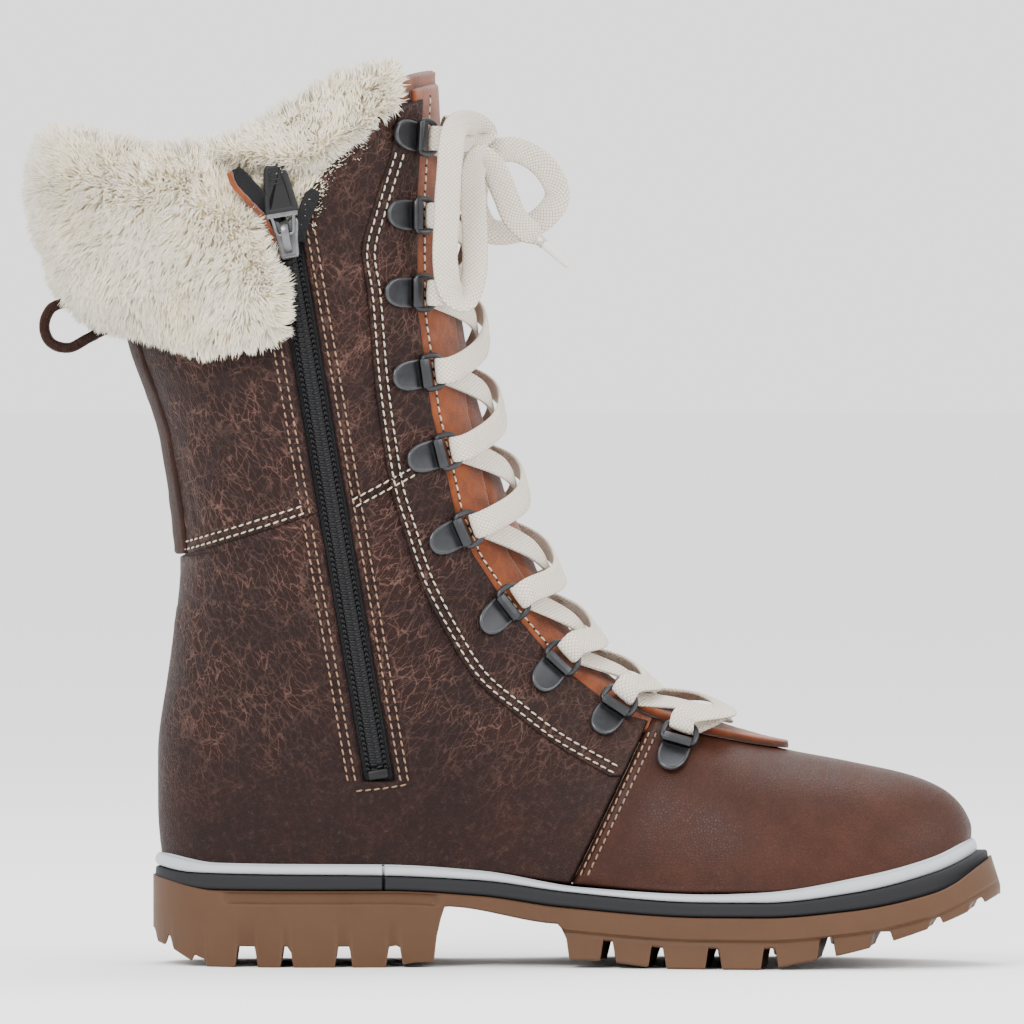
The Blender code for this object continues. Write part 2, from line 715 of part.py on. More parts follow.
def add_zip():
    low, high, up, across, out = zip_frame()
    levels = [h for h in rings if ring_zip_end <= h <= 0.97]
    levels[0] -= 0.012

    def tape_angles(h):
        return [angle_where(h, shifted(zip_x, offset)) for offset in (-12.0, -4.0, 4.0, 12.0)]

    face, back = grid(levels, tape_angles, level(-2.6)), grid(levels, tape_angles, level(-3.3))
    add_shell("zip_tape", face, back, "black_nylon")
    length = (high - low).length

    def prism(start, end, section):
        count = len(section)
        loop = [across * a + out * b for a, b in section]
        points = [low + up * start + p for p in loop] + [low + up * end + p for p in loop]
        faces = [tuple(range(count)), tuple(range(2 * count - 1, count - 1, -1))]
        faces += [(k, (k + 1) % count, (k + 1) % count + count, k + count) for k in range(count)]
        return points, faces

    chain = [(-2.6, -0.9), (-1.6, -1.6), (1.6, -1.6), (2.6, -0.9), (1.6, -0.1), (-1.6, -0.1)]
    add_object("zip_chain", *prism(4.0, length - 2.0, chain), "black_nylon")
    body = [
        (-4.3, -1.3), (-3.3, -1.3), (-3.3, 0.5), (3.3, 0.5), (3.3, -1.3), (4.3, -1.3),
        (4.3, 1.4), (2.6, 2.2),
        (-2.6, 2.2), (-4.3, 1.4),
    ]
    pivot = low + up * (length - 5.0) + out * 3.9
    add_object("zip_slider", *prism(length - 14.0, length - 1.0, body), "gunmetal", pivot=pivot)
    shape = [(-0.9, 2.4), (1.0, 2.6), (4.0, 3.0), (7.0, 5.2), (16.0, 5.4), (21.0, 4.8), (22.6, 3.4)]
    path = [pivot + up * s + out * 0.2 for s, _ in shape]
    points, faces = strip_sweep(path, across, [w for _, w in shape], PULLER_SHEET)
    add_object("zip_puller", points, faces, "black_rubber", pivot=pivot)


def edge_frame(side, height):
    """The seat of one lace ring on the facing edge: pivot, along the edge, away from the throat, out."""
    line = shifted(throat_x, 13.0 if height < LOWEST else -2.2)
    ring = ring_where(lambda h: ring_point(h, angle_where(h, line))[1] - height)
    angle = angle_where(ring, line)
    spot, normal = surface(ring, -side * angle)
    near = surface(ring + 0.012, -side * angle_where(ring + 0.012, line))[0]
    if height < LOWEST:
        near = surface(ring + 0.012, -side * (angle - 0.02))[0]
    tangent = (near - spot).normalized()
    tangent = (tangent - normal * tangent.dot(normal)).normalized()
    away = normal.cross(tangent) * -side
    if away.x > 0:
        away = -away
    return spot, tangent, away, normal


def ring_seats(side):
    """For each lace ring from the top down: its pivot, edge, away and out directions."""
    rise = 0.5 + PLATE_SHEET + SLEEVE
    seats = []
    for height in EYELETS:
        spot, tangent, away, normal = edge_frame(side, height)
        seats.append((spot + normal * rise, tangent, away, normal))
    return seats


def add_lace_rings():
    """Folded plates riveted to the facings, each holding a wire ring on its rolled edge."""
    bend = SLEEVE + PLATE_SHEET / 2
    for side, name in ((MEDIAL, "medial"), (LATERAL, "lateral")):
        for number, (pivot, tangent, away, normal) in enumerate(ring_seats(side), 1):
            roll = [math.radians(d) for d in (60, 100, 140, 180, 225, 270)]
            path = [pivot + away * bend * math.cos(a) + normal * bend * math.sin(a) for a in roll]
            path += [pivot + away * reach - normal * bend for reach in (2.6, 7.5, 10.2, 11.8)]
            half = [BARREL_HALF] * 6 + [5.3, 5.4, 4.0, 1.6]
            points, faces = strip_sweep(path, tangent, half, PLATE_SHEET)
            add_object(f"plate_{name}_{number:02d}", points, faces, "gunmetal")
            add_ring(f"ring_{name}_{number:02d}", pivot, tangent, away, normal)


def add_ring(name, pivot, tangent, away, normal):
    """A D of round wire: its straight bar lies in the plate's roll, its bow over the throat."""
    bow = RING_BOW
    half = BARREL_HALF + RING_WIRE + 0.6
    reach = -away * math.cos(RING_LEAN) + normal * math.sin(RING_LEAN)
    flat = [(-half, 0.0), (half, 0.0), (half, bow * 0.35)]
    flat += [(half * math.cos(t), bow * 0.35 + bow * 0.65 * math.sin(t)) for t in (0.75, 1.5708, 2.39)]
    flat += [(-half, bow * 0.35)]
    path = [pivot + tangent * a + reach * b for a, b in flat]
    up = tangent.cross(reach).normalized()
    sides = RING_SIDES
    points = []
    count = len(path)
    for k, at in enumerate(path):
        before = (at - path[k - 1]).normalized()
        after = (path[(k + 1) % count] - at).normalized()
        run = (before + after).normalized()
        out = run.cross(up).normalized() / max(math.sqrt((1 + before.dot(after)) / 2), 0.7)
        points += [
            at + (out * math.cos(turn) + up * math.sin(turn)) * RING_WIRE
            for turn in (2 * math.pi * s / sides for s in range(sides))
        ]
    faces = []
    for i in range(count):
        n = (i + 1) % count
        for s in range(sides):
            t = (s + 1) % sides
            faces.append((i * sides + s, i * sides + t, n * sides + t, n * sides + s))
    add_object(name, points, faces, "gunmetal", pivot=pivot)


def ring_wrap(seat):
    """The lace round the bow of one ring, from above it, down through the ring, to under it."""
    pivot, _, away, normal = seat
    wire = pivot + (-away * math.cos(RING_LEAN) + normal * math.sin(RING_LEAN)) * RING_BOW
    turns = [math.radians(d) for d in (95, 175, 255)]
    return [wire - away * (LACE_WRAP * math.cos(a)) + normal * (LACE_WRAP * math.sin(a)) for a in turns]


def throat_angle(side, height):
    line = shifted(throat_x, 20.0 if height < LOWEST else 6.0)
    ring = ring_where(lambda h: ring_point(h, angle_where(h, line))[1] - height)
    return ring, angle_where(ring, line)


def lace_strand(side, upper, lower):
    """Across the tongue, from under the upper ring on this side to over the lower ring on the other."""
    start, begin = throat_angle(side, EYELETS[upper])
    finish, end = throat_angle(-side, EYELETS[lower])
    lift = LACE_LOW if side == MEDIAL else LACE_HIGH
    if lower == len(EYELETS) - 1:
        lift += 2.2
    points = []
    for share in (0.3, 0.7):
        turn = mix(begin, 2 * math.pi - end, share)
        points.append(surface(mix(start, finish, share), -side * turn, lift)[0])
    return points


def half_lace(side, seats):
    """One half of the lace: ring 1 on this side, ring 2 on the other, and so on down."""
    points = []
    at = side
    for number in range(len(EYELETS)):
        points += ring_wrap(seats[at][number])
        if number + 1 < len(EYELETS):
            points += lace_strand(at, number, number + 1)
            at = -at
    return points, at


def add_lace():
    seats = {side: ring_seats(side) for side in (MEDIAL, LATERAL)}
    inner, inner_end = half_lace(MEDIAL, seats)
    outer, outer_end = half_lace(LATERAL, seats)
    low = len(EYELETS) - 1
    bar = []
    start, begin = throat_angle(inner_end, EYELETS[low])
    for share in (0.3, 0.7):
        turn = mix(begin, 2 * math.pi - begin, share)
        bar.append(surface(start, -inner_end * turn, LACE_LOW + 3.4)[0])
    route = INNER_BOW[::-1] + inner + bar + outer[::-1] + OUTER_BOW
    curve = bpy.data.curves.new("lace", "CURVE")
    curve.dimensions = "3D"
    curve.bevel_depth = LACE_R * MM
    curve.bevel_resolution = 2
    curve.use_fill_caps = True
    spline = curve.splines.new("POLY")
    spline.points.add(len(route) - 1)
    for point, place in zip(spline.points, route):
        point.co = (*(Vector(place) * MM), 1)
    curve.materials.append(material("cotton_lace"))
    bpy.context.scene.collection.objects.link(bpy.data.objects.new("lace", curve))


add_quarters()
add_backstay()
add_vamp()
add_heel_counter()
add_lining()
add_tongue()
add_tongue_tip()
add_midsole()
add_rand()
add_outsole()
add_insoles()
add_cuff()
add_pull_loop()
add_zip()
add_lace_rings()
add_lace()
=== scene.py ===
import math

import bpy
import numpy as np
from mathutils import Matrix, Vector, kdtree


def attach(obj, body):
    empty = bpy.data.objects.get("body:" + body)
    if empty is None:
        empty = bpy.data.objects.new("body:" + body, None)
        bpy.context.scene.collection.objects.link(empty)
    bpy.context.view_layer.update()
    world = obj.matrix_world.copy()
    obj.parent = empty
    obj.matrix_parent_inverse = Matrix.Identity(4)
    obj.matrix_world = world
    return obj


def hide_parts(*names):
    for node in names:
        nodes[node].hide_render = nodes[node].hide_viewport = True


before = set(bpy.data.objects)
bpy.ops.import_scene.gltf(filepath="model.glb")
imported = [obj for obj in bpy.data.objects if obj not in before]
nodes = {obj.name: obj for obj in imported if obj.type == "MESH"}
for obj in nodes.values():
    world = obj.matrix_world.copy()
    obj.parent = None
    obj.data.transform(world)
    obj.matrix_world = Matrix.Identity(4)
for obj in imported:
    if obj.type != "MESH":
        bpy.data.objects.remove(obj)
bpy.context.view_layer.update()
mm = 0.001
inner, outer = -1, 1  # the two sides of the boot, by the sign of y


def report(text):
    print("boot:", text)


# shader helpers
class Sock:
    # a socket of a material's nodes, so that shader maths reads as plain expressions
    def __init__(self, finish, socket):
        self.finish = finish
        self.socket = socket

    def maths(self, operation, *others, swap=False):
        values = [self, *others][::-1] if swap else [self, *others]
        node = self.finish.node("ShaderNodeMath", {"operation": operation}, dict(enumerate(values)))
        return node.out()

    def __add__(self, other):
        return self.maths("ADD", other)

    def __sub__(self, other):
        return self.maths("SUBTRACT", other)

    def __rsub__(self, other):
        return self.maths("SUBTRACT", other, swap=True)

    def __mul__(self, other):
        return self.maths("MULTIPLY", other)

    def __truediv__(self, other):
        return self.maths("DIVIDE", other)

    def __pow__(self, other):
        return self.maths("POWER", other)

    __radd__ = __add__
    __rmul__ = __mul__

    def limited(self):
        self.socket.node.use_clamp = True
        return self

    def above(self, low, high):
        # 0 below low, 1 over high, smooth between
        settings = {"interpolation_type": "SMOOTHSTEP"}
        return self.finish.node("ShaderNodeMapRange", settings, {"Value": self, 1: low, 2: high}).out()

    def wave(self):
        return self.maths("SINE")

    def size(self):
        return self.maths("ABSOLUTE")


class Made:
    # a node that was made, which hands out its outputs
    def __init__(self, finish, node):
        self.finish = finish
        self.node = node

    def out(self, which=0):
        return Sock(self.finish, self.node.outputs[which])


class Finish:
    # one material: its shader and the nodes that feed it
    def __init__(self, name, fixed=None):
        self.material = bpy.data.materials.new(name)
        self.material.use_nodes = True
        self.tree = self.material.node_tree
        self.shader = self.tree.nodes["Principled BSDF"]
        for key, value in (fixed or {}).items():
            socket = self.shader.inputs[key]
            tinted = isinstance(value, tuple) and len(socket.default_value) == 4
            socket.default_value = (*value, 1) if tinted else value

    def node(self, kind, settings, values):
        made = self.tree.nodes.new(kind)
        for key, value in settings.items():
            setattr(made, key, value)
        for key, value in values.items():
            socket = made.inputs[key]
            if isinstance(value, Sock):
                self.tree.links.new(value.socket, socket)
            elif isinstance(value, tuple) and len(value) == 3 and len(socket.default_value) == 4:
                socket.default_value = (*value, 1)
            else:
                socket.default_value = value
        return Made(self, made)

    def place(self):
        return self.node("ShaderNodeTexCoord", {}, {}).out("Object")

    def flat(self):
        return self.node("ShaderNodeTexCoord", {}, {}).out("UV")

    def parts(self, vector):
        split = self.node("ShaderNodeSeparateXYZ", {}, {0: vector})
        return split.out(0), split.out(1), split.out(2)

    def stretched(self, vector, scale):
        values = {0: vector, 1: scale}
        return self.node("ShaderNodeVectorMath", {"operation": "MULTIPLY"}, values).out()

    def pushed(self, vector, by, amount):
        # a vector moved by the colour of a noise, to bend straight patterns
        moved = self.node("ShaderNodeVectorMath", {"operation": "SCALE"}, {0: by, 3: amount}).out()
        return self.node("ShaderNodeVectorMath", {"operation": "ADD"}, {0: vector, 1: moved}).out()

    def noise(self, vector, scale, detail=3.0, rough=0.55, which=0):
        values = {"Vector": vector, "Scale": scale, "Detail": detail, "Roughness": rough}
        return self.node("ShaderNodeTexNoise", {}, values).out(which)

    def cells(self, vector, scale, feature="F1", which=0):
        settings = {"feature": feature}
        return self.node("ShaderNodeTexVoronoi", settings, {"Vector": vector, "Scale": scale}).out(which)

    def blend(self, factor, first, second, mode="MIX"):
        settings = {"data_type": "RGBA", "blend_type": mode}
        return self.node("ShaderNodeMix", settings, {0: factor, 6: first, 7: second}).out(2)

    def attribute(self, name):
        return self.node("ShaderNodeAttribute", {"attribute_name": name}, {}).out("Fac")

    def bumps(self, height, depth, under=None):
        # depth in metres for a height of one
        values = {"Height": height, "Strength": 1.0, "Distance": depth}
        if under:
            values["Normal"] = under
        return self.node("ShaderNodeBump", {}, values).out()

    def wear(self, links):
        for key, value in links.items():
            self.tree.links.new(value.socket, self.shader.inputs[key])
        return self.material


# the boot's form, in millimetres
form = {
    "toe": 227.0, "heel": -46.5, "ball": 150.0, "spine": 5.0,
    "heelPower": 2.2, "archPower": 2.2, "shaftPower": 2.1, "toePower": 2.8,
    "back": [
        (30, -44.5), (52, -46.5), (70, -46.6), (102, -42.4), (132, -39.0), (176, -44.0), (213, -55.5),
        (262, -61.0), (300, -62.0),
    ],
    "front": [
        (227.0, 40.0), (227.0, 45.5), (224.6, 52.0), (218.0, 58.8), (206.0, 64.0), (186.0, 68.4),
        (163.0, 72.6), (136.0, 80.5), (119.0, 88.5), (99.0, 105.3), (87.0, 122.0), (74.0, 151.8),
        (66.0, 175.0), (59.0, 203.0), (53.5, 240.0), (49.5, 275.0), (48.0, 300.0), (47.0, 322.0),
    ],
    "randTop": [
        (-50, 38.6), (-44, 37.8), (-26, 34.7), (30, 34.3), (62, 32.3), (96, 26.9), (136, 24.9), (156, 25.6),
        (190, 31.0), (213, 37.0), (230, 45.6), (240, 51.0),
    ],
    "weltTop": [
        (-50, 34.6), (-33, 31.3), (28, 30.6), (62, 29.0), (92, 25.2), (136, 22.2), (156, 22.2), (186, 25.4),
        (213, 32.0), (232, 40.6), (240, 44.5),
    ],
    "soleTop": [
        (-50, 30.4), (-26, 25.6), (30, 25.6), (62, 23.9), (89, 20.2), (136, 17.2), (156, 17.2), (186, 19.5),
        (213, 25.0), (232, 34.2), (240, 38.5),
    ],
    "shaftWidth": [(60, 33.5), (300, 51.8)],
    "outerWidth": [
        (-50, 31.5), (5, 32.5), (40, 34.0), (75, 38.0), (110, 45.0), (150, 50.5), (190, 50.0), (240, 46.0),
    ],
    "innerWidth": [
        (-50, 31.5), (5, 32.5), (40, 31.0), (75, 31.5), (110, 37.5), (150, 44.0), (190, 40.0), (240, 36.0),
    ],
    # each ring round the upper: its share of the height at the back, and its reach along the front
    "ringBack": [(0.0, 35.0), (0.2, 60.0), (0.4, 92.0), (0.6, 132.0), (0.8, 195.0), (1.0, 262.0),
                 (1.1, 292.0)],
    "ringFront": [(0.0, 2.0), (0.2, 48.0), (0.4, 127.0), (0.6, 198.0), (0.8, 262.0), (1.0, 349.0),
                  (1.1, 372.0)],
    # the front edge of the side panels, as (height, x)
    "throat": [
        (20.0, 88.7), (27.6, 92.2), (81.8, 118.6), (83.5, 112.0), (86.5, 107.0), (102.0, 87.2), (122.2,
                                                                                                 70.3),
        (138.0, 59.9), (152.4, 53.8), (166.2, 50.8), (185.4, 46.1), (206.9, 43.1), (220.0, 41.3),
        (257.0, 41.1), (320.0, 44.6),
    ],
    "seamFoot": (27.6, 92.2), "seamTop": (88.0, 121.6),
    "zipFoot": (27.6, 66.0), "zipTop": (-3.7, 251.7), "zipEnd": 62.0,
}


def blendOf(a, b, t):
    return a + (b - a) * t


def smooth(value, low, high):
    t = np.clip((np.asarray(value, float) - low) / (high - low), 0.0, 1.0)
    return t * t * (3 - 2 * t)


def smoothLine(points):
    # a curve through the points that never overshoots between two of them
    a, b = np.array(points, float).T
    step = np.diff(a)
    rise = np.diff(b) / step
    slope = np.concatenate([rise[:1], np.zeros(len(a) - 2), rise[-1:]])
    for k in range(1, len(a) - 1):
        if rise[k - 1] * rise[k] > 0:
            slope[k] = 2 / (1 / rise[k - 1] + 1 / rise[k])

    def value(at):
        at = np.clip(np.asarray(at, float), a[0], a[-1])
        k = np.clip(np.searchsorted(a, at, side="right") - 1, 0, len(a) - 2)
        t = (at - a[k]) / step[k]
        start = b[k] * (1 + 2 * t) * (1 - t) ** 2 + slope[k] * step[k] * t * (1 - t) ** 2
        end = b[k + 1] * t * t * (3 - 2 * t) + slope[k + 1] * step[k] * t * t * (t - 1)
        return start + end

    return value


def lengthsOf(points):
    steps = np.linalg.norm(np.diff(np.asarray(points, float), axis=0), axis=1)
    return np.concatenate([[0], np.cumsum(steps)])


def smoothPath(points, count):
    # a smooth path of any dimension through its points
    points = np.asarray(points, float)
    chord = lengthsOf(points)
    curves = [smoothLine(np.stack([chord, column], 1)) for column in points.T]
    at = np.linspace(0, chord[-1], count)
    return np.stack([curve(at) for curve in curves], 1)


def splinePath(points, spacing):
    # a rounder path through the points, with samples an even distance apart
    p = np.asarray(points, float)
    p = np.concatenate([[2 * p[0] - p[1]], p, [2 * p[-1] - p[-2]]])
    knots = np.concatenate([[0], np.cumsum(np.linalg.norm(np.diff(p, axis=0), axis=1) ** 0.5)])
    fine = []
    for k in range(1, len(p) - 2):
        t = np.linspace(knots[k], knots[k + 1], 24, endpoint=False)[:, None]
        t0, t1, t2, t3 = knots[k - 1:k + 3]
        a1 = (t1 - t) / (t1 - t0) * p[k - 1] + (t - t0) / (t1 - t0) * p[k]
        a2 = (t2 - t) / (t2 - t1) * p[k] + (t - t1) / (t2 - t1) * p[k + 1]
        a3 = (t3 - t) / (t3 - t2) * p[k + 1] + (t - t2) / (t3 - t2) * p[k + 2]
        b1 = (t2 - t) / (t2 - t0) * a1 + (t - t0) / (t2 - t0) * a2
        b2 = (t3 - t) / (t3 - t1) * a2 + (t - t1) / (t3 - t1) * a3
        fine.append((t2 - t) / (t2 - t1) * b1 + (t - t1) / (t2 - t1) * b2)
    fine.append(p[-2:-1])
    fine = np.concatenate(fine)
    return evenly(fine, spacing)


def evenly(points, spacing):
    run = lengthsOf(points)
    at = np.linspace(0, run[-1], max(int(round(run[-1] / spacing)), 2) + 1)
    return np.stack([np.interp(at, run, column) for column in np.asarray(points).T], 1)


curve = {key: smoothLine(form[key]) for key in (
    "back", "randTop", "weltTop", "soleTop", "shaftWidth", "outerWidth", "innerWidth", "ringBack",
    "ringFront",
)}
frontPath = smoothPath(form["front"], 400)
frontRun = lengthsOf(frontPath)
risingFront = frontPath[frontPath[:, 1] >= 45.5]
throatLine = np.array(form["throat"])


def lastHeight(x):
    return curve["weltTop"](x) + 0.2


def frontX(z):
    return np.interp(z, frontPath[:, 1], frontPath[:, 0])


def ridgeZ(x):
    return np.interp(-np.asarray(x), -risingFront[:, 0], risingFront[:, 1])


def middleY(x):
    return -14.4 * smooth(x, 80.0, 260.0)


def footWidth(x, side):
    return np.where(side < 0, curve["innerWidth"](x), curve["outerWidth"](x))


def widthSquared(x, z, side):
    # the square of the leather's half width at a place of the side view
    toe = 1 - np.maximum((x - form["ball"]) / (form["toe"] - form["ball"]), 0) ** form["toePower"]
    foot = footWidth(x, side) ** 2 * toe
    leg = smooth(z, 30, 95) * (1 - smooth(x, 90, 150))
    widest = blendOf(foot, curve["shaftWidth"](z) ** 2, leg)
    spine = form["spine"] - 10 * smooth(z, 200, 300)
    behind = 1 - np.maximum((spine - x) / (spine - curve["back"](z)), 0) ** form["heelPower"]
    height = np.maximum((z - lastHeight(x)) / (ridgeZ(x) - lastHeight(x)), 0)
    arch = 1 - height ** form["archPower"] * smooth(x, spine, 60)
    tube = 1 - np.maximum((x - spine) / (frontX(z) - spine), 0) ** form["shaftPower"]
    ahead = blendOf(arch, tube, smooth(z, 60, 110))
    return widest * np.where(x < spine, behind, ahead)


def ringPoint(h, turn):
    share = (1 - np.cos(turn)) / 2
    low = curve["ringBack"](h)
    reach = curve["ringFront"](h)
    x = blendOf(curve["back"](low), np.interp(reach, frontRun, frontPath[:, 0]), share)
    z = blendOf(low, np.interp(reach, frontRun, frontPath[:, 1]), share)
    baseX = blendOf(form["heel"], form["toe"], share)
    sag = lastHeight(baseX) - blendOf(lastHeight(form["heel"]), lastHeight(form["toe"]), share)
    return x, z + sag * np.maximum(1 - h / 0.35, 0) ** 1.5


def skinNormal(x, z, side, y):
    d = 0.2
    byX = (widthSquared(x + d, z, side) - widthSquared(x - d, z, side)) / (2 * d)
    byZ = (widthSquared(x, z + d, side) - widthSquared(x, z - d, side)) / (2 * d)
    turn = (middleY(x + d) - middleY(x - d)) / (2 * d)
    normal = np.stack([-2 * y * turn - byX, 2 * y, -byZ], -1)
    return normal / np.linalg.norm(normal, axis=-1, keepdims=True)


def upper(h, angle, offset=0.0):
    # points and normals of the upper: angle 0 at the back, to pi round the inner side, below 0 the outer
    h, angle = np.broadcast_arrays(np.asarray(h, float), np.asarray(angle, float))
    angle = (angle + math.pi) % (2 * math.pi) - math.pi
    side = np.where(angle >= 0, inner, outer)
    x, z = ringPoint(h, np.abs(angle))
    half = np.sqrt(np.maximum(widthSquared(x, z, side), 0))
    y = np.where(np.abs(np.sin(angle)) < 1e-6, 0.0, side * half)
    normal = skinNormal(x, z, side, y)
    points = np.stack([x, middleY(x) + y, z], -1)
    return points + normal * np.asarray(offset)[..., None], normal


def skin(x, z, side, offset=0.0):
    # the same surface, from a place of the side view
    x, z = np.broadcast_arrays(np.asarray(x, float), np.asarray(z, float))
    y = side * np.sqrt(np.maximum(widthSquared(x, z, side), 0))
    normal = skinNormal(x, z, side, y)
    return np.stack([x, middleY(x) + y, z], -1) + normal * np.asarray(offset)[..., None], normal


def angleWhere(h, line):
    # the angle on each ring at which x reaches line(z)
    h = np.asarray(h, float)
    low, high = np.zeros(h.shape), np.full(h.shape, math.pi)
    for _ in range(32):
        middle = (low + high) / 2
        x, z = ringPoint(h, middle)
        ahead = x < line(z)
        low = np.where(ahead, middle, low)
        high = np.where(ahead, high, middle)
    return (low + high) / 2


def ringWhere(test):
    low, high = 0.0, 1.1
    for _ in range(32):
        middle = (low + high) / 2
        if test(middle) < 0:
            low = middle
        else:
            high = middle
    return (low + high) / 2


def straight(first, second):
    slope = (second[0] - first[0]) / (second[1] - first[1])
    return lambda z: first[0] + (z - first[1]) * slope


def shifted(line, amount):
    return lambda z: line(z) + amount


def throatX(z):
    return np.interp(z, throatLine[:, 0], throatLine[:, 1])


zipX = straight(form["zipFoot"], form["zipTop"])
seamX = straight(form["seamFoot"][::-1], form["seamTop"][::-1])


# mesh helpers
def hashed(cells, seed):
    # a fixed random number from 0 to 1 for each whole-numbered cell
    x, y, z = (cells[..., k].astype(np.int64) for k in range(3))
    n = (x * 73856093) ^ (y * 19349663) ^ (z * 83492791) ^ (seed * 2654435)
    n = (n ^ (n >> 13)) * 1274126177
    n = (n ^ (n >> 16)) & 0xFFFFFF
    return n / 0xFFFFFF


def ripple(points, size, seed=1):
    # smooth noise from -1 to 1 with features of that size
    p = np.asarray(points, float) / size
    base = np.floor(p)
    t = p - base
    t = t * t * t * (t * (t * 6 - 15) + 10)
    total = 0
    for i in (0, 1):
        for j in (0, 1):
            for k in (0, 1):
                corner = hashed(base + np.array([i, j, k]), seed)
                share = np.abs(1 - i - t[..., 0]) * np.abs(1 - j - t[..., 1]) * np.abs(1 - k - t[..., 2])
                total = total + corner * share
    return total * 2 - 1


def addMesh(name, points, faces, finish, body="boot", uv=None, values=None, flat=False):
    mesh = bpy.data.meshes.new(name)
    mesh.from_pydata((np.asarray(points) * mm).tolist(), [], [list(f) for f in faces])
    if not flat:
        mesh.shade_smooth()
    if uv is not None:
        layer = mesh.uv_layers.new(name="lay")
        corner = np.zeros(len(mesh.loops), np.int32)
        mesh.loops.foreach_get("vertex_index", corner)
        layer.data.foreach_set("uv", np.asarray(uv, np.float32)[corner].ravel())
    for key, numbers in (values or {}).items():
        mesh.attributes.new(key, "FLOAT", "POINT").data.foreach_set("value",
                                                                    np.asarray(numbers, np.float32))
    mesh.materials.append(finish)
    piece = bpy.data.objects.new(name, mesh)
    bpy.context.scene.collection.objects.link(piece)
    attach(piece, body)
    return piece


def shell(front, back, keep=None, wrap=False):
    # points and faces of a sheet between two grids, open where keep is false
    rows, columns = front.shape[:2]
    spans = columns if wrap else columns - 1
    keep = np.ones((rows - 1, spans), bool) if keep is None else keep
    index = np.arange(rows * columns).reshape(rows, columns)
    i, j = np.nonzero(keep)
    a, b = index[i, j], index[i, (j + 1) % columns]
    c, d = index[i + 1, (j + 1) % columns], index[i + 1, j]
    half = rows * columns
    faces = [np.stack([a, b, c, d], 1), np.stack([d, c, b, a], 1) + half]
    padded = np.zeros((rows + 1, spans + 2), bool)
    padded[1:-1, 1:-1] = keep
    if wrap:
        padded[1:-1, 0] = keep[:, -1]
        padded[1:-1, -1] = keep[:, 0]
    beside = [
        (padded[:-2, 1:-1], a, b), (padded[2:, 1:-1], c, d), (padded[1:-1, :-2], d, a), (padded[1:-1, 2:],
                                                                                         b, c),
    ]
    for other, p, q in beside:
        edge = ~other[i, j]
        faces.append(np.stack([q[edge], p[edge], p[edge] + half, q[edge] + half], 1))
    faces = np.concatenate(faces)
    used = np.unique(faces)
    place = np.zeros(2 * half, np.int64)
    place[used] = np.arange(len(used))
    points = np.concatenate([front.reshape(-1, 3), back.reshape(-1, 3)])[used]
    return points, place[faces], used


def tube(path, across, sections, closed=False):
    # a skin of loops along a path: sections gives (side, out) offsets for each stop of the path
    path = np.asarray(path, float)
    count = len(path)
    if closed:
        run = np.roll(path, -1, 0) - np.roll(path, 1, 0)
    else:
        run = np.gradient(path, axis=0)
    run /= np.linalg.norm(run, axis=1, keepdims=True)
    across = np.broadcast_to(np.asarray(across, float), path.shape)
    across = across - run * (across * run).sum(1, keepdims=True)
    across = across / np.linalg.norm(across, axis=1, keepdims=True)
    out = np.cross(across, run)
    sections = np.broadcast_to(sections, (count, *np.shape(sections)[-2:]))
    points = path[:, None] + across[:, None] * sections[..., :1] + out[:, None] * sections[..., 1:]
    sides = sections.shape[1]
    index = np.arange(count * sides).reshape(count, sides)
    if closed:
        index = np.concatenate([index, index[:1]])
    a, b = index[:-1], np.roll(index[:-1], -1, 1)
    c, d = np.roll(index[1:], -1, 1), index[1:]
    faces = np.stack([a, b, c, d], -1).reshape(-1, 4).tolist()
    if not closed:
        faces += [index[0][::-1].tolist(), index[-1].tolist()]
    return points.reshape(-1, 3), faces


def roundSection(wide, thick, sides=12, power=1.0):
    turn = np.arange(sides) * 2 * math.pi / sides
    c, s = np.cos(turn), np.sin(turn)
    return np.stack([wide * np.sign(c) * np.abs(c) ** power, thick * np.sign(s) * np.abs(s) ** power], 1)


def joined(parts):
    # several (points, faces) as one
    points, faces, start = [], [], 0
    for somePoints, someFaces in parts:
        points.append(somePoints)
        faces += [[k + start for k in face] for face in someFaces]
        start += len(somePoints)
    return np.concatenate(points), faces


# finishes
def creaseNet(f, at, turn, wide, length, width):
    # thin lines round drawn-out cells: wide and length are their size across and along, in millimetres
    x, y, z = f.parts(at)
    along = x * math.cos(turn) + z * math.sin(turn)
    across = z * math.cos(turn) - x * math.sin(turn)
    values = {0: along * (1000 / length), 1: y * (1000 / wide), 2: across * (1000 / wide)}
    cells = f.node("ShaderNodeCombineXYZ", {}, values).out()
    return 1 - f.cells(cells, 1.0, "DISTANCE_TO_EDGE").above(0.0, width)


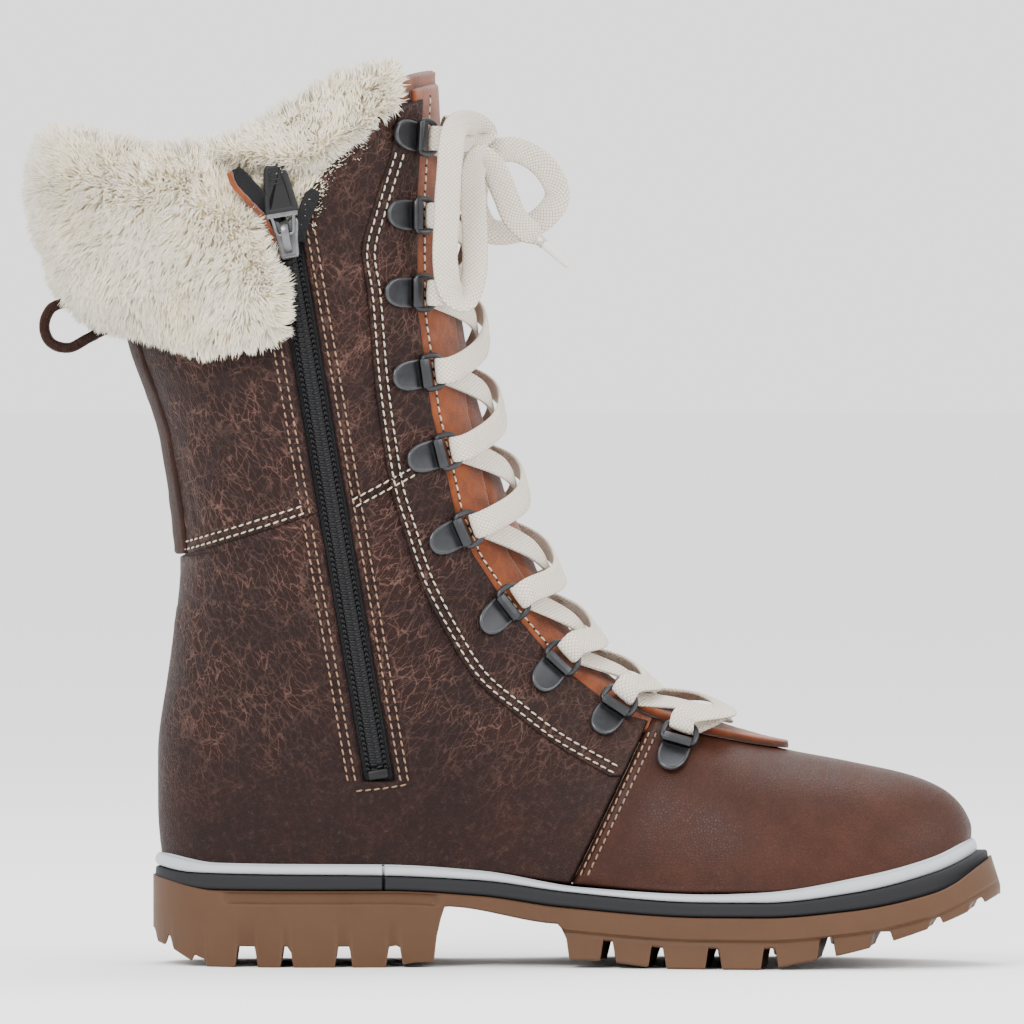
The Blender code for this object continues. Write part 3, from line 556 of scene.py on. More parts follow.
def leatherFinish(name, dark, light, tan, grain, veins, rough):
    # grain in millimetres; veins is how strongly the pale pull-up lines show
    f = Finish(name, {"Specular IOR Level": 0.16})
    at = f.place()
    x, y, z = f.parts(at)
    bent = f.pushed(at, f.noise(at, 60, 4, which=1), 0.007)
    fine = f.cells(f.pushed(at, f.noise(at, 300, 2, which=1), 0.0016), 1000 / grain, "DISTANCE_TO_EDGE")
    pebble = fine.above(0.0, 0.25)
    patches = f.noise(at, 24, 3, 0.6)
    pull = f.noise(at, 95, 5, 0.65)
    mottle = f.noise(at, 520, 4, 0.7)
    fore = x.above(0.0, 0.035)
    rearNet = creaseNet(f, bent, -1.05, 2.4, 10.0, 0.060) + creaseNet(f, bent, -0.5, 3.6, 12.0, 0.042) * 0.7
    foreNet = creaseNet(f, bent, 0.95, 2.6, 10.5, 0.060) + creaseNet(f, bent, 0.4, 3.8, 11.0, 0.042) * 0.7
    broadNet = creaseNet(f, bent, 1.2, 8.0, 17.0, 0.035)
    lines = rearNet * (1 - fore) + foreNet * fore + broadNet * 0.5
    fade = 0.12 + z.above(0.045, 0.095) * 0.88
    strength = (0.38 + patches.above(0.36, 0.62) * 0.62) * (0.35 + pull.above(0.36, 0.6) * 0.65)
    veinMask = (lines.limited() * fade * strength * veins).limited()
    warmth = (patches.above(0.40, 0.72) * 0.55 + pull.above(0.35, 0.7) * 0.35).limited()
    toeward = x.above(0.06, 0.21)
    body = f.blend(warmth, dark, light)
    body = f.blend((mottle.above(0.5, 0.75) * 0.16 + toeward * 0.2).limited(), body, tan)
    body = f.blend(veinMask * 0.62, body, tan)
    # painted shade: the grain's crevices, where the pebble bump sinks, are blended towards this darker copy of
    # the leather
    shade = (dark[0] * 0.4, dark[1] * 0.4, dark[2] * 0.4)
    body = f.blend((1 - pebble) * 0.3, body, shade)
    body = f.blend(f.attribute("edge") * 0.8, body, (dark[0] * 0.5, dark[1] * 0.45, dark[2] * 0.45))
    height = pebble * 0.3 + pull * 0.6 + mottle * 0.3 - veinMask * 0.8
    normal = f.bumps(height, 0.00030 * (0.3 + 0.7 * veins))
    roughness = rough + (1 - pebble) * 0.10 + (pull - 0.5) * 0.3 + f.attribute("edge") * 0.15
    return f.wear({"Base Color": body, "Roughness": roughness.limited(), "Normal": normal})


def suedeFinish(name, base, deep):
    f = Finish(name, {"Roughness": 0.93, "Specular IOR Level": 0.15, "Sheen Weight": 0.35,
                      "Sheen Roughness": 0.5})
    at = f.place()
    nap = f.noise(at, 2600, 3, 0.7)
    brushed = f.noise(at, 130, 5, 0.65)
    broad = f.noise(at, 35, 3)
    colour = f.blend((brushed.above(0.35, 0.68) * 0.7 + nap * 0.45).limited(), deep, base)
    colour = f.blend(broad.above(0.45, 0.75) * 0.4, colour, (base[0] * 1.25, base[1] * 1.25, base[2] * 1.2))
    colour = f.blend(f.attribute("edge") * 0.8, colour, (deep[0] * 0.4, deep[1] * 0.38, deep[2] * 0.38))
    normal = f.bumps(nap + brushed * 0.6, 0.00022)
    return f.wear({"Base Color": colour, "Normal": normal})


def furFinish(name, root, tip, warm):
    f = Finish(name, {"Roughness": 0.9, "Specular IOR Level": 0.1, "Sheen Weight": 0.3,
                      "Sheen Roughness": 0.6})
    at = f.place()
    along = f.attribute("along")
    lock = f.attribute("lock")
    patch = f.noise(at, 45, 3)
    colour = f.blend((along * 1.3).limited(), root, tip)
    colour = f.blend((lock * 0.45 + patch.above(0.42, 0.7) * 0.5).limited(), colour,
                     f.blend(along, root, warm))
    return f.wear({"Base Color": colour, "Roughness": 0.95 - along * 0.15})


def rubberFinish(name, colour, pale, rough, grit=0.4, fixed=None):
    f = Finish(name, {"Specular IOR Level": 0.2, **(fixed or {})})
    at = f.place()
    cloud = f.noise(at, 60, 4, 0.6)
    speck = f.noise(at, 900, 3, 0.6)
    scuff = f.noise(f.stretched(at, (40, 200, 500)), 1.0, 4, 0.7)
    tone = f.blend((cloud * 0.6 + f.attribute("edge") * 0.6).limited(), colour, pale)
    tone = f.blend(scuff.above(0.6, 0.8) * 0.25, tone, pale)
    normal = f.bumps(speck * grit + scuff * 0.4, 0.00006)
    roughness = rough + (cloud - 0.5) * 0.25 + scuff * 0.1
    return f.wear({"Base Color": tone, "Roughness": roughness.limited(), "Normal": normal})


def laceFinish():
    f = Finish("cottonLace", {"Roughness": 0.92, "Specular IOR Level": 0.12, "Sheen Weight": 0.25})
    u, v, _ = f.parts(f.flat())
    step = 1.45
    turn = math.pi / step
    rising = (u + v) * turn
    falling = (u - v) * turn
    diamond = rising.wave() * falling.wave()
    over = diamond.above(-0.12, 0.12)
    yarnA = (rising * 3).wave().size()
    yarnB = (falling * 3).wave().size()
    yarn = yarnA * over + yarnB * (1 - over)
    dome = diamond.size() ** 0.45
    fuzz = f.noise(f.place(), 2200, 3, 0.7)
    soil = f.noise(f.place(), 70, 4)
    # painted shade: the valleys between the braid's diamonds and its yarns are coloured darker, their crowns
    # lighter
    shade = (dome * 0.62 + yarn * 0.38) * (0.7 + fuzz * 0.6)
    colour = f.blend(shade.limited(), (0.42, 0.33, 0.24), (0.90, 0.81, 0.69))
    colour = f.blend(soil.above(0.5, 0.8) * 0.25, colour, (0.62, 0.54, 0.44))
    normal = f.bumps(dome + yarn * 0.35 + fuzz * 0.3, 0.00032)
    return f.wear({"Base Color": colour, "Normal": normal})


def metalFinish(name, colour, bright, rough):
    f = Finish(name, {"Specular IOR Level": 0.5})
    at = f.place()
    cloud = f.noise(at, 260, 4, 0.6)
    rub = f.noise(at, 900, 3, 0.7)
    # edges blended towards bright metal: rubbed wear, and on the lace plates' bevelled rim also a painted
    # highlight
    worn = (f.attribute("edge") * (0.35 + rub * 0.8)).limited()
    tone = f.blend(worn * 0.6, f.blend(cloud.above(0.35, 0.7), colour,
                                       (colour[0] * 1.6, colour[1] * 1.6, colour[2] * 1.65)), bright)
    roughness = rough + (cloud - 0.5) * 0.3 - worn * 0.12
    normal = f.bumps(rub * 0.6 + cloud, 0.00004)
    return f.wear({"Base Color": tone, "Roughness": roughness.limited(), "Metallic": 0.55 + worn * 0.4,
                   "Normal": normal})


def threadFinish(name, colour, deep):
    f = Finish(name, {"Roughness": 0.7, "Specular IOR Level": 0.25})
    u, v, _ = f.parts(f.flat())
    ply = ((u * 2.2 + v * 3.0) * math.pi).wave().size()
    # painted shade: the ply's grooves blend towards the deep colour, its crowns towards the thread's own
    # colour
    tone = f.blend((ply * 0.8 + f.noise(f.place(), 1500) * 0.4).limited(), deep, colour)
    return f.wear({"Base Color": tone, "Normal": f.bumps(ply, 0.00008)})


def tapeFinish():
    f = Finish("zipTape", {"Roughness": 0.75, "Specular IOR Level": 0.3})
    u, v, _ = f.parts(f.flat())
    rib = (u * math.pi / 0.55).wave().size()
    pick = (v * math.pi / 0.7).wave().size()
    lint = f.noise(f.place(), 1800, 3)
    # painted shade: the weave's grooves are darker and its ribs lighter, with random lint on top
    tone = f.blend((rib * 0.5 + pick * 0.3 + lint * 0.2).limited(), (0.0025, 0.0025, 0.003),
                   (0.016, 0.016, 0.018))
    return f.wear({"Base Color": tone, "Normal": f.bumps(rib + pick * 0.7, 0.00015)})


finish = {
    "quarter": leatherFinish("quarterLeather", (0.0090, 0.0019, 0.0012), (0.0200, 0.0050, 0.0028),
                             (0.155, 0.080, 0.062), 1.0, 1.0, 0.47),
    "vamp": leatherFinish("vampLeather", (0.0225, 0.0055, 0.0027), (0.046, 0.0128, 0.0064),
                          (0.095, 0.038, 0.023), 1.0, 0.22, 0.40),
    "strap": leatherFinish("strapLeather", (0.014, 0.0044, 0.0023), (0.030, 0.0100, 0.0054),
                           (0.10, 0.044, 0.025), 0.9, 0.5, 0.6),
    "suede": suedeFinish("tanSuede", (0.205, 0.0450, 0.0070), (0.078, 0.0155, 0.0026)),
    "tongueSuede": suedeFinish("tongueSuede", (0.190, 0.0430, 0.0075), (0.070, 0.0145, 0.0026)),
    "fur": furFinish("shearlingFur", (0.86, 0.69, 0.42), (0.985, 0.925, 0.77), (0.96, 0.83, 0.58)),
    "gum": rubberFinish("gumRubber", (0.060, 0.0275, 0.0130), (0.108, 0.0550, 0.0280), 0.5, 0.4,
                        {"Subsurface Weight": 0.12, "Subsurface Radius": (0.6, 0.3, 0.12),
                         "Subsurface Scale": 0.004}),
    "black": rubberFinish("blackRubber", (0.009, 0.009, 0.0105), (0.020, 0.020, 0.023), 0.6),
    "grey": rubberFinish("greyRubber", (0.36, 0.378, 0.40), (0.50, 0.52, 0.54), 0.34, 0.2),
    "tab": rubberFinish("tabRubber", (0.0075, 0.0075, 0.008), (0.016, 0.016, 0.017), 0.46, 0.3),
    "lace": laceFinish(),
    "gunmetal": metalFinish("gunmetal", (0.014, 0.0145, 0.0165), (0.12, 0.12, 0.125), 0.40),
    "steel": metalFinish("zipSteel", (0.075, 0.075, 0.078), (0.30, 0.30, 0.31), 0.33),
    # for the cream and tan threads, the second colour is the painted shade in the ply grooves
    "cream": threadFinish("creamThread", (0.82, 0.72, 0.55), (0.40, 0.30, 0.19)),
    "tan": threadFinish("tanThread", (0.44, 0.27, 0.17), (0.16, 0.08, 0.045)),
    # near black for the needle holes: painted shade, not thread
    "dark": threadFinish("needleHoleShade", (0.020, 0.020, 0.022), (0.005, 0.005, 0.0055)),
    "coil": rubberFinish("coilNylon", (0.006, 0.006, 0.0065), (0.016, 0.016, 0.018), 0.3, 0.1),
    "tape": tapeFinish(),
    "board": rubberFinish("fibreBoard", (0.36, 0.26, 0.16), (0.50, 0.38, 0.26), 0.85, 1.0),
    "aglet": rubberFinish("agletFilm", (0.62, 0.57, 0.52), (0.80, 0.76, 0.72), 0.25, 0.2,
                          {"Coat Weight": 0.6}),
}
report("finishes ready")


# camera, floor and light
view = {"width": 344.6, "x": 72.7, "z": 151.8, "distance": 6000.0, "tilt": 1.2, "sensor": 36.0}


def addCamera():
    camera = bpy.data.cameras.new("camera")
    camera.sensor_width = view["sensor"]
    camera.lens = view["sensor"] * view["distance"] / view["width"]
    camera.clip_end = 50
    made = bpy.data.objects.new("camera", camera)
    tilt = math.radians(view["tilt"])
    centre = Vector((view["x"], 0, view["z"]))
    made.location = (centre + Vector((0, -math.cos(tilt), math.sin(tilt))) * view["distance"]) * mm
    made.rotation_euler = (math.pi / 2 - tilt, 0, 0)
    bpy.context.scene.collection.objects.link(made)
    bpy.context.scene.camera = made


def addLight(name, at, aim, size, power, colour=(1, 1, 1)):
    light = bpy.data.lights.new(name, "AREA")
    light.shape = "DISK"
    light.size = size
    light.energy = power
    light.color = colour
    made = bpy.data.objects.new(name, light)
    made.location = at
    made.rotation_euler = (Vector(aim) - Vector(at)).to_track_quat("-Z", "Y").to_euler()
    bpy.context.scene.collection.objects.link(made)


def addStudio():
    floorMesh = bpy.data.meshes.new("floor")
    turns = [k * math.pi / 32 for k in range(64)]
    floorMesh.from_pydata([(12 * math.cos(t), 12 * math.sin(t), 0) for t in turns], [], [list(range(64))])
    floor = bpy.data.objects.new("floor", floorMesh)
    f = Finish("floorPaper", {"Roughness": 0.9})
    paper = f.blend(f.noise(f.place(), 3, 3) * 0.3, (0.96, 0.96, 0.96), (0.93, 0.93, 0.93))
    floorMesh.materials.append(f.wear({"Base Color": paper}))
    bpy.context.scene.collection.objects.link(floor)
    world = bpy.data.worlds.new("studio")
    world.use_nodes = True
    ground = world.node_tree.nodes["Background"]
    ground.inputs["Color"].default_value = (1.0, 1.0, 1.0, 1)
    ground.inputs["Strength"].default_value = 1.85
    bpy.context.scene.world = world
    addLight("keyLight", (-0.7, -1.5, 1.3), (0.05, 0, 0.14), 0.9, 34)
    addLight("sideLight", (1.5, -0.7, 0.9), (0.08, 0, 0.12), 0.8, 14)
    addLight("topLight", (0.1, 0.5, 1.7), (0.08, 0, 0.15), 1.0, 18)


addCamera()
addStudio()


# lace rings and the lace
ringing = {
    "heights": [278.0, 251.7, 225.8, 198.9, 172.0, 145.5, 120.0, 100.5, 85.5, 74.0],
    "wire": 1.1, "barrelHalf": 4.4, "bow": 7.8, "lean": math.radians(12), "rise": 2.75,
}
lacing = {
    "wrap": 3.25, "low": 3.4, "high": 6.8, "width": 8.6, "thickness": 1.5, "step": 0.75, "length": 1.92,
    "barX": 140.0,
    # the bow in front of the throat: each end's points run from its top ring
    "innerBow": [
        (53.0, -20.0, 277.0), (59.0, -9.0, 277.0), (63.5, -1.5, 279.0), (60.5, -8.0, 282.0), (55.5, -22.0,
                                                                                              282.5),
        (53.0, -34.0, 278.5), (51.8, -40.0, 268.0), (50.8, -42.0, 250.0), (50.4, -41.0, 236.0), (52.5,
                                                                                                 -38.0, 226.0),
        (56.8, -34.5, 223.5), (59.8, -32.0, 231.0), (60.3, -29.0, 244.0), (59.8, -25.0, 257.0), (60.0,
                                                                                                 -16.0, 268.0),
        (63.0, -8.5, 271.0), (67.0, -8.5, 266.5), (70.5, -10.5, 258.5), (74.0, -12.0, 250.5), (83.5, -15.0,
                                                                                               242.0),
    ],
    "outerBow": [
        (54.0, 19.0, 277.5), (59.5, 9.0, 274.5), (66.0, 2.5, 273.5), (74.5, 7.0, 273.5), (83.5, 11.0,
                                                                                          268.0),
        (88.0, 12.0, 258.5), (83.5, 10.0, 251.0), (74.5, 7.0, 246.5), (65.0, 4.5, 246.5), (60.5, 3.5,
                                                                                           254.0),
        (60.5, 3.5, 264.5), (56.5, 6.5, 271.5), (55.5, 12.0, 281.5), (53.5, 24.0, 284.0), (51.5, 35.0,
                                                                                           274.0),
        (50.0, 42.0, 257.0), (49.5, 44.0, 241.0), (48.5, 44.5, 228.0),
    ],
}


def unit(v):
    v = np.asarray(v, float)
    return v / np.linalg.norm(v, axis=-1, keepdims=True)


def edgeSeat(side, height):
    # the seat of one lace ring: pivot, along the facing's edge, away from the throat, out
    line = shifted(throatX, 13.0 if height < 80 else -2.2)
    ring = ringWhere(lambda h: ringPoint(h, angleWhere(h, line))[1] - height)
    angle = angleWhere(ring, line)
    spot, normal = upper(ring, -side * angle)
    nextAngle = angle - 0.02 if height < 80 else angleWhere(ring + 0.012, line)
    near, _ = upper(ring + 0.012, -side * nextAngle)
    tangent = unit(near - spot)
    tangent = unit(tangent - normal * (tangent @ normal))
    away = np.cross(normal, tangent) * -side
    if away[0] > 0:
        away = -away
    return spot + normal * ringing["rise"], tangent, away, normal


seats = {side: [edgeSeat(side, height) for height in ringing["heights"]] for side in (inner, outer)}


def ringWrap(seat):
    # the lace round the bow of one ring: points and the side of the ribbon that faces out
    pivot, tangent, away, normal = seat
    lean = ringing["lean"]
    wire = pivot + (-away * math.cos(lean) + normal * math.sin(lean)) * ringing["bow"]
    turns = np.radians([95, 175, 255])[:, None]
    outward = -away * np.cos(turns) + normal * np.sin(turns)
    return [(p, n, tangent) for p, n in zip(wire + outward * lacing["wrap"], outward)]


def throatAngle(height):
    line = shifted(throatX, 20.0 if height < 80 else 6.0)
    ring = ringWhere(lambda h: ringPoint(h, angleWhere(h, line))[1] - height)
    return ring, angleWhere(ring, line)


def laceStrand(side, first, second):
    start, begin = throatAngle(ringing["heights"][first])
    stop, end = throatAngle(ringing["heights"][second])
    lift = lacing["low"] if side == inner else lacing["high"]
    if second == len(ringing["heights"]) - 1:
        lift += 2.2
    made = []
    for share in (0.3, 0.7):
        turn = blendOf(begin, 2 * math.pi - end, share)
        point, normal = upper(blendOf(start, stop, share), -side * turn, lift)
        made.append((point, normal, None))
    return made


def halfLace(side):
    made, at = [], side
    for number in range(len(ringing["heights"])):
        made += ringWrap(seats[at][number])
        if number + 1 < len(ringing["heights"]):
            made += laceStrand(at, number, number + 1)
            at = -at
    return made, at


def laceRoute():
    nearHalf, nearEnd = halfLace(inner)
    farHalf, _ = halfLace(outer)
    _, begin = throatAngle(ringing["heights"][-1])
    bar = []
    for share in (0.3, 0.7):
        turn = blendOf(begin, 2 * math.pi - begin, share)
        ring = ringWhere(lambda h: lacing["barX"] - upper(h, -nearEnd * turn)[0][0])
        point, normal = upper(ring, -nearEnd * turn, lacing["low"] + 3.4)
        bar.append((point, normal, None))
    innerBow = [(np.array(p), None, None) for p in lacing["innerBow"]]
    outerBow = [(np.array(p), None, None) for p in lacing["outerBow"]]
    return innerBow[::-1] + nearHalf + bar + farHalf[::-1] + outerBow


def addLace():
    # a flat ribbon along the route: it lies on its broad side and turns smoothly between the rings
    route = laceRoute()
    knots = np.array([r[0] for r in route])
    path = splinePath(knots, lacing["step"])
    run = lengthsOf(path)
    nearest = np.array([np.argmin(((path - k) ** 2).sum(1)) for k in knots])
    order = np.maximum.accumulate(nearest)
    ahead = unit(np.gradient(path, axis=0))
    known, wide = [], []
    for k, (point, normal, along) in enumerate(route):
        t = ahead[order[k]]
        if along is not None:
            side = along - t * (along @ t)
        elif normal is not None:
            side = np.cross(normal, t)
        else:
            side = bowSide(t)
        side = unit(side)
        if wide and side @ wide[-1] < 0:
            side = -side
        known.append(run[order[k]])
        wide.append(side)
    known, wide = np.array(known), np.array(wide)
    _, first = np.unique(known, return_index=True)
    across = np.stack([np.interp(run, known[first], wide[first][:, k]) for k in range(3)], 1)
    across = unit(across - ahead * (across * ahead).sum(1, keepdims=True))
    half, thick = lacing["width"] / 2, lacing["thickness"] / 2
    section = roundSection(half, thick, 20, 0.72)
    wobble = 1 + 0.035 * ripple(np.stack([run, run * 0, run * 0], 1), 9.0, 3)
    ends = 1 - 0.62 * (1 - smooth(np.minimum(run, run[-1] - run), 1.0, 7.0))
    sections = np.repeat(section[None], len(path), 0)
    sections[..., 0] *= (wobble * ends)[:, None]
    sections[..., 1] *= (1 + 0.9 * (1 - smooth(np.minimum(run, run[-1] - run), 1.0, 7.0)))[:, None]
    braid = 0.10 * np.sin((run[:, None] + section[None, :, 0]) * math.pi / 1.45)
    braid = braid * np.sin((run[:, None] - section[None, :, 0]) * math.pi / 1.45)
    sections[..., 1] += np.sign(section[None, :, 1]) * np.abs(braid) * 1.6
    points, faces = tube(path, across, sections)
    v = np.cumsum(np.concatenate([[0], np.linalg.norm(np.diff(section, axis=0), axis=1)]))
    uv = np.stack(np.broadcast_arrays(run[:, None], v[None, :]), -1).reshape(-1, 2)
    lace = addMesh("flatLace", points, faces, finish["lace"], uv=uv)
    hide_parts("lace")
    for name, at in (("agletInner", 0), ("agletOuter", -1)):
        addAglet(name, path, ahead, across, at)
    return run[-1]


def bowSide(t):
    # the bow's ribbon mostly shows its broad side to the inner side of the boot
    facing = np.array([0.15, -1.0, 0.1])
    return np.cross(facing, t)


def addAglet(name, path, ahead, across, at):
    outward = -ahead[0] if at == 0 else ahead[-1]
    start = path[at] - outward * 2.0
    stops = np.array([-1.0, 0.0, 2.0, 6.0, 10.0, 12.6, 13.4])
    radius = np.array([1.5, 1.75, 1.6, 1.5, 1.45, 1.35, 0.7])
    line = start + outward * stops[:, None]
    sections = roundSection(1.0, 0.9, 16)[None] * radius[:, None, None]
    points, faces = tube(line, across[at], sections)
    piece = addMesh(name, points, faces, finish["aglet"])
    return piece


report(f"lace {addLace():.0f} mm long")


# leather panels
panels = {
    "thickness": 1.9, "overlay": 0.75, "roll": 1.1, "slot": 5.0, "stayHalf": 0.36, "stayEnd": 137.0,
    "vampFront": 126.0, "strip": 12.5,
    # the facing's seam, from the top down, and the seams across the leg, as (x, height)
    "facingSeam": [
        (36.5, 300.0), (32.6, 275.6), (25.9, 254.1), (22.4, 240.0), (24.2, 225.8), (26.6, 197.2), (29.4,
                                                                                                   176.0),
        (32.3, 159.2), (36.0, 147.0), (41.4, 130.2), (51.1, 110.7), (60.6, 95.9), (73.7, 84.5), (86.5,
                                                                                                 74.7),
        (106.3, 63.3),
    ],
    "rearSeam": [(-60.0, 130.0), (-39.4, 136.8), (-17.0, 144.0), (4.4, 151.0), (12.0, 153.6)],
    "frontSeam": [(19.0, 156.4), (23.6, 158.8), (39.4, 167.2), (52.0, 174.5)],
}
# how far the leather curves away from the zip above the slider
panels["flareRear"] = smoothLine([(0.0, 0.0), (243.0, 0.0), (253.0, 5.0), (267.0, 8.5), (290.0, 10.0),
                                  (330.0, 10.0)])
panels["flareFore"] = smoothLine([(0.0, 0.0), (246.0, 0.0), (253.5, 1.7), (260.0, 5.8), (268.0, 13.0),
                                  (276.0, 22.0), (330.0, 22.0)])
ringZipEnd = ringWhere(lambda h: ringPoint(h, angleWhere(h, zipX))[1] - form["zipEnd"])
ringStayEnd = ringWhere(lambda h: curve["ringBack"](h) - panels["stayEnd"])
ringVamp = ringWhere(lambda h: panels["vampFront"] - ringPoint(h, math.pi)[0])


def borderDistance(points, faces):
    # how far each point of a sheet's front lies from its cut edge, in millimetres
    edges = np.concatenate([faces[:, [k, (k + 1) % 4]] for k in range(4)])
    edges = np.sort(edges, 1)
    pairs, counts = np.unique(edges, axis=0, return_counts=True)
    rim = np.unique(pairs[counts == 1])
    tree = kdtree.KDTree(len(rim))
    for k, index in enumerate(rim):
        tree.insert(points[index], k)
    tree.balance()
    return np.array([tree.find(p)[2] for p in points])


def frontFaces(rows, columns, keep):
    index = np.arange(rows * columns).reshape(rows, columns)
    i, j = np.nonzero(keep)
    return np.stack([index[i, j], index[i, j + 1], index[i + 1, j + 1], index[i + 1, j]], 1)


def panel(name, levels, angles, base, thick, paint, node=None, keep=None, relief=None, roll=None,
          body="boot"):
    # a sheet of leather or suede over the upper: levels and angles are grids, base is its underside
    rows, columns = angles.shape
    keep = np.ones((rows - 1, columns - 1), bool) if keep is None else keep
    levels = np.broadcast_to(levels, angles.shape)
    under, normal = upper(levels, angles, base)
    flatPoints = under.reshape(-1, 3)
    faces = frontFaces(rows, columns, keep)
    used = np.unique(faces)
    remap = np.zeros(len(flatPoints), int)
    remap[used] = np.arange(len(used))
    distance = np.full(len(flatPoints), 99.0)
    distance[used] = borderDistance(flatPoints[used], remap[faces])
    distance = distance.reshape(angles.shape)
    roll = panels["roll"] if roll is None else roll
    drop = 1 - np.sqrt(np.maximum(1 - np.clip(1 - distance / roll, 0, 1) ** 2, 0))
    height = thick * (1 - 0.55 * drop)
    if relief is not None:
        height = height + relief(under, distance) * smooth(distance, 0.0, 3.0)
    front = under + normal * height[..., None]
    points, made, used = shell(front, under, keep)
    edge = (1 - smooth(distance, 0.0, 0.9)).reshape(-1)
    edge = np.concatenate([edge, np.ones(edge.shape)])[used]
    piece = addMesh(name, points, made, paint, body=body, values={"edge": edge})
    if node:
        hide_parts(*([node] if isinstance(node, str) else node))
    return piece


def spreadTo(stops, counts):
    # columns of angles between the given columns, with that many spans in each stretch
    made = [stops[0][:, None]]
    for low, high, count in zip(stops, stops[1:], counts):
        share = np.arange(1, count + 1) / count
        made.append(low[:, None] + (high - low)[:, None] * share)
    return np.concatenate(made, 1)


def creases(points):
    # soft unevenness all over, with fine folds where the ankle bends
    x, z = points[..., 0], points[..., 2]
    broad = 0.55 * ripple(points, 38.0, 5) + 0.22 * ripple(points, 13.0, 6)
    tilted = np.stack([points[..., 0] * 0.7 + z * 0.9, points[..., 1], z * 0.25 - x * 0.4], -1)
    folds = 1 - np.abs(ripple(tilted, 6.5, 7)) * 2.2
    ankle = smooth(z, 70, 105) * (1 - smooth(z, 175, 215)) * smooth(x, -30, 25)
    rear = smooth(z, 85, 120) * (1 - smooth(z, 150, 190)) * (1 - smooth(x, -30, 10))
    pebble = 0.07 * ripple(points, 2.2, 8)
    return broad * smooth(z, 45, 80) + np.clip(folds, 0, 1) * -0.38 * (ankle + 0.7 * rear) + pebble


def quarterFront(h):
    return angleWhere(h, shifted(throatX, -0.3))


def lineX(points):
    # x of a seam at each height
    z = np.array([p[1] for p in points][::-1])
    x = np.array([p[0] for p in points][::-1])
    path = smoothLine(np.stack([z, x], 1))
    return path


facingX = lineX(panels["facingSeam"])


def addQuarter(side, name, node):
    rows = 250
    h = np.linspace(0.0, 1.0, rows)
    above = h > ringStayEnd
    start = np.where(above, panels["stayHalf"] - 0.05, 0.004)
    fore = quarterFront(h)
    if side == inner:
        rear = angleWhere(h, lambda z: zipX(z) - panels["slot"] - panels["flareRear"](z))
        ahead = angleWhere(h, lambda z: zipX(z) + panels["slot"] + panels["flareFore"](z))
        angles = spreadTo([start, rear, ahead, fore], [68, 8, 76])
        keep = np.ones((rows - 1, angles.shape[1] - 1), bool)
        keep[h[:-1] >= ringZipEnd, 68:76] = False
    else:
        angles = spreadTo([start, fore], [150])
        keep = None
    panel(name, h[:, None], angles * -side, -panels["thickness"], panels["thickness"], finish["quarter"],
          node, keep, lambda p, d: creases(p))


def addFacing(side, name):
    # the strip that carries the lace rings, on top of the quarter
    h = np.linspace(0.16, 0.999, 230)
    seam = angleWhere(h, facingX)
    fore = angleWhere(h, shifted(throatX, -0.4))
    low = np.minimum(seam, fore - 0.02)
    angles = spreadTo([low, fore], [40])
    keep = np.repeat(((fore - seam) > 0.03)[:-1, None], 40, 1)
    panel(name, h[:, None], angles * -side, 0.05, panels["overlay"], finish["quarter"],
          None, keep,
          lambda p, d: 0.35 * creases(p) + 0.1)


def addShaftRear(side, name):
    # the upper rear panel, laid over the lower one along a slanting seam
    seam = smoothLine([(x, z) for x, z in panels["rearSeam"]])
    turns = np.linspace(0.0, 1.0, 60)
    rows = 120
    share = np.linspace(0.0, 1.0, rows)
    columns = []
    for t in turns:
        def rear(h):
            if side == inner:
                end = angleWhere(h, lambda z: zipX(z) - panels["slot"] - 0.2 - panels["flareRear"](z))
            else:
                end = angleWhere(h, facingX)
            return blendOf(panels["stayHalf"] - 0.04, end, t)

        def test(h):
            x, z = ringPoint(h, rear(h))
            return z - seamAt(x)

        def seamAt(x):
            return seam(x) if x < 12 else seam(12.0) + (x - 12) * 0.45

        low = ringWhere(test)
        h = blendOf(low, 0.999, share)
        columns.append((h, rear(h)))
    levels = np.stack([c[0] for c in columns], 1)
    angles = np.stack([c[1] for c in columns], 1)
    panel(name, levels, angles * -side, 0.04, 0.8, finish["quarter"], None, None,
          lambda p, d: creases(p) + 0.12)


def addBackstay():
    h = np.linspace(ringStayEnd + 0.003, 0.995, 130)
    half = np.full(h.shape, panels["stayHalf"])
    angles = spreadTo([-half, half], [24])
    panel("backstayStrip", h[:, None], angles, 0.1, 1.7, finish["strap"], "backstay", None,
          lambda p, d: 0.2 * ripple(p, 5.0, 9))


def addVamp():
    h = np.linspace(0.0, ringVamp, 150)
    edge = angleWhere(h, shifted(seamX, 0.2))
    angles = spreadTo([edge, np.full(h.shape, math.pi), 2 * math.pi - edge], [120, 120])
    panel("vampShell", h[:, None], angles, -panels["thickness"], panels["thickness"], finish["vamp"],
          "vamp", None,
          lambda p, d: 0.9 * (1 - smooth(d, 3.0, 16.0)) * vampRear(p) + 0.35 * ripple(p, 40.0, 11))


def vampRear(points):
    return 1 - smooth(points[..., 0] - seamX(points[..., 2]), 4.0, 22.0)


addQuarter(inner, "quarterInner", "quarter_medial")
addQuarter(outer, "quarterOuter", "quarter_lateral")
for sideName, side in (("Inner", inner), ("Outer", outer)):
    addFacing(side, "facing" + sideName)
    addShaftRear(side, "shaftRear" + sideName)
addBackstay()
addVamp()
report("leather cut")


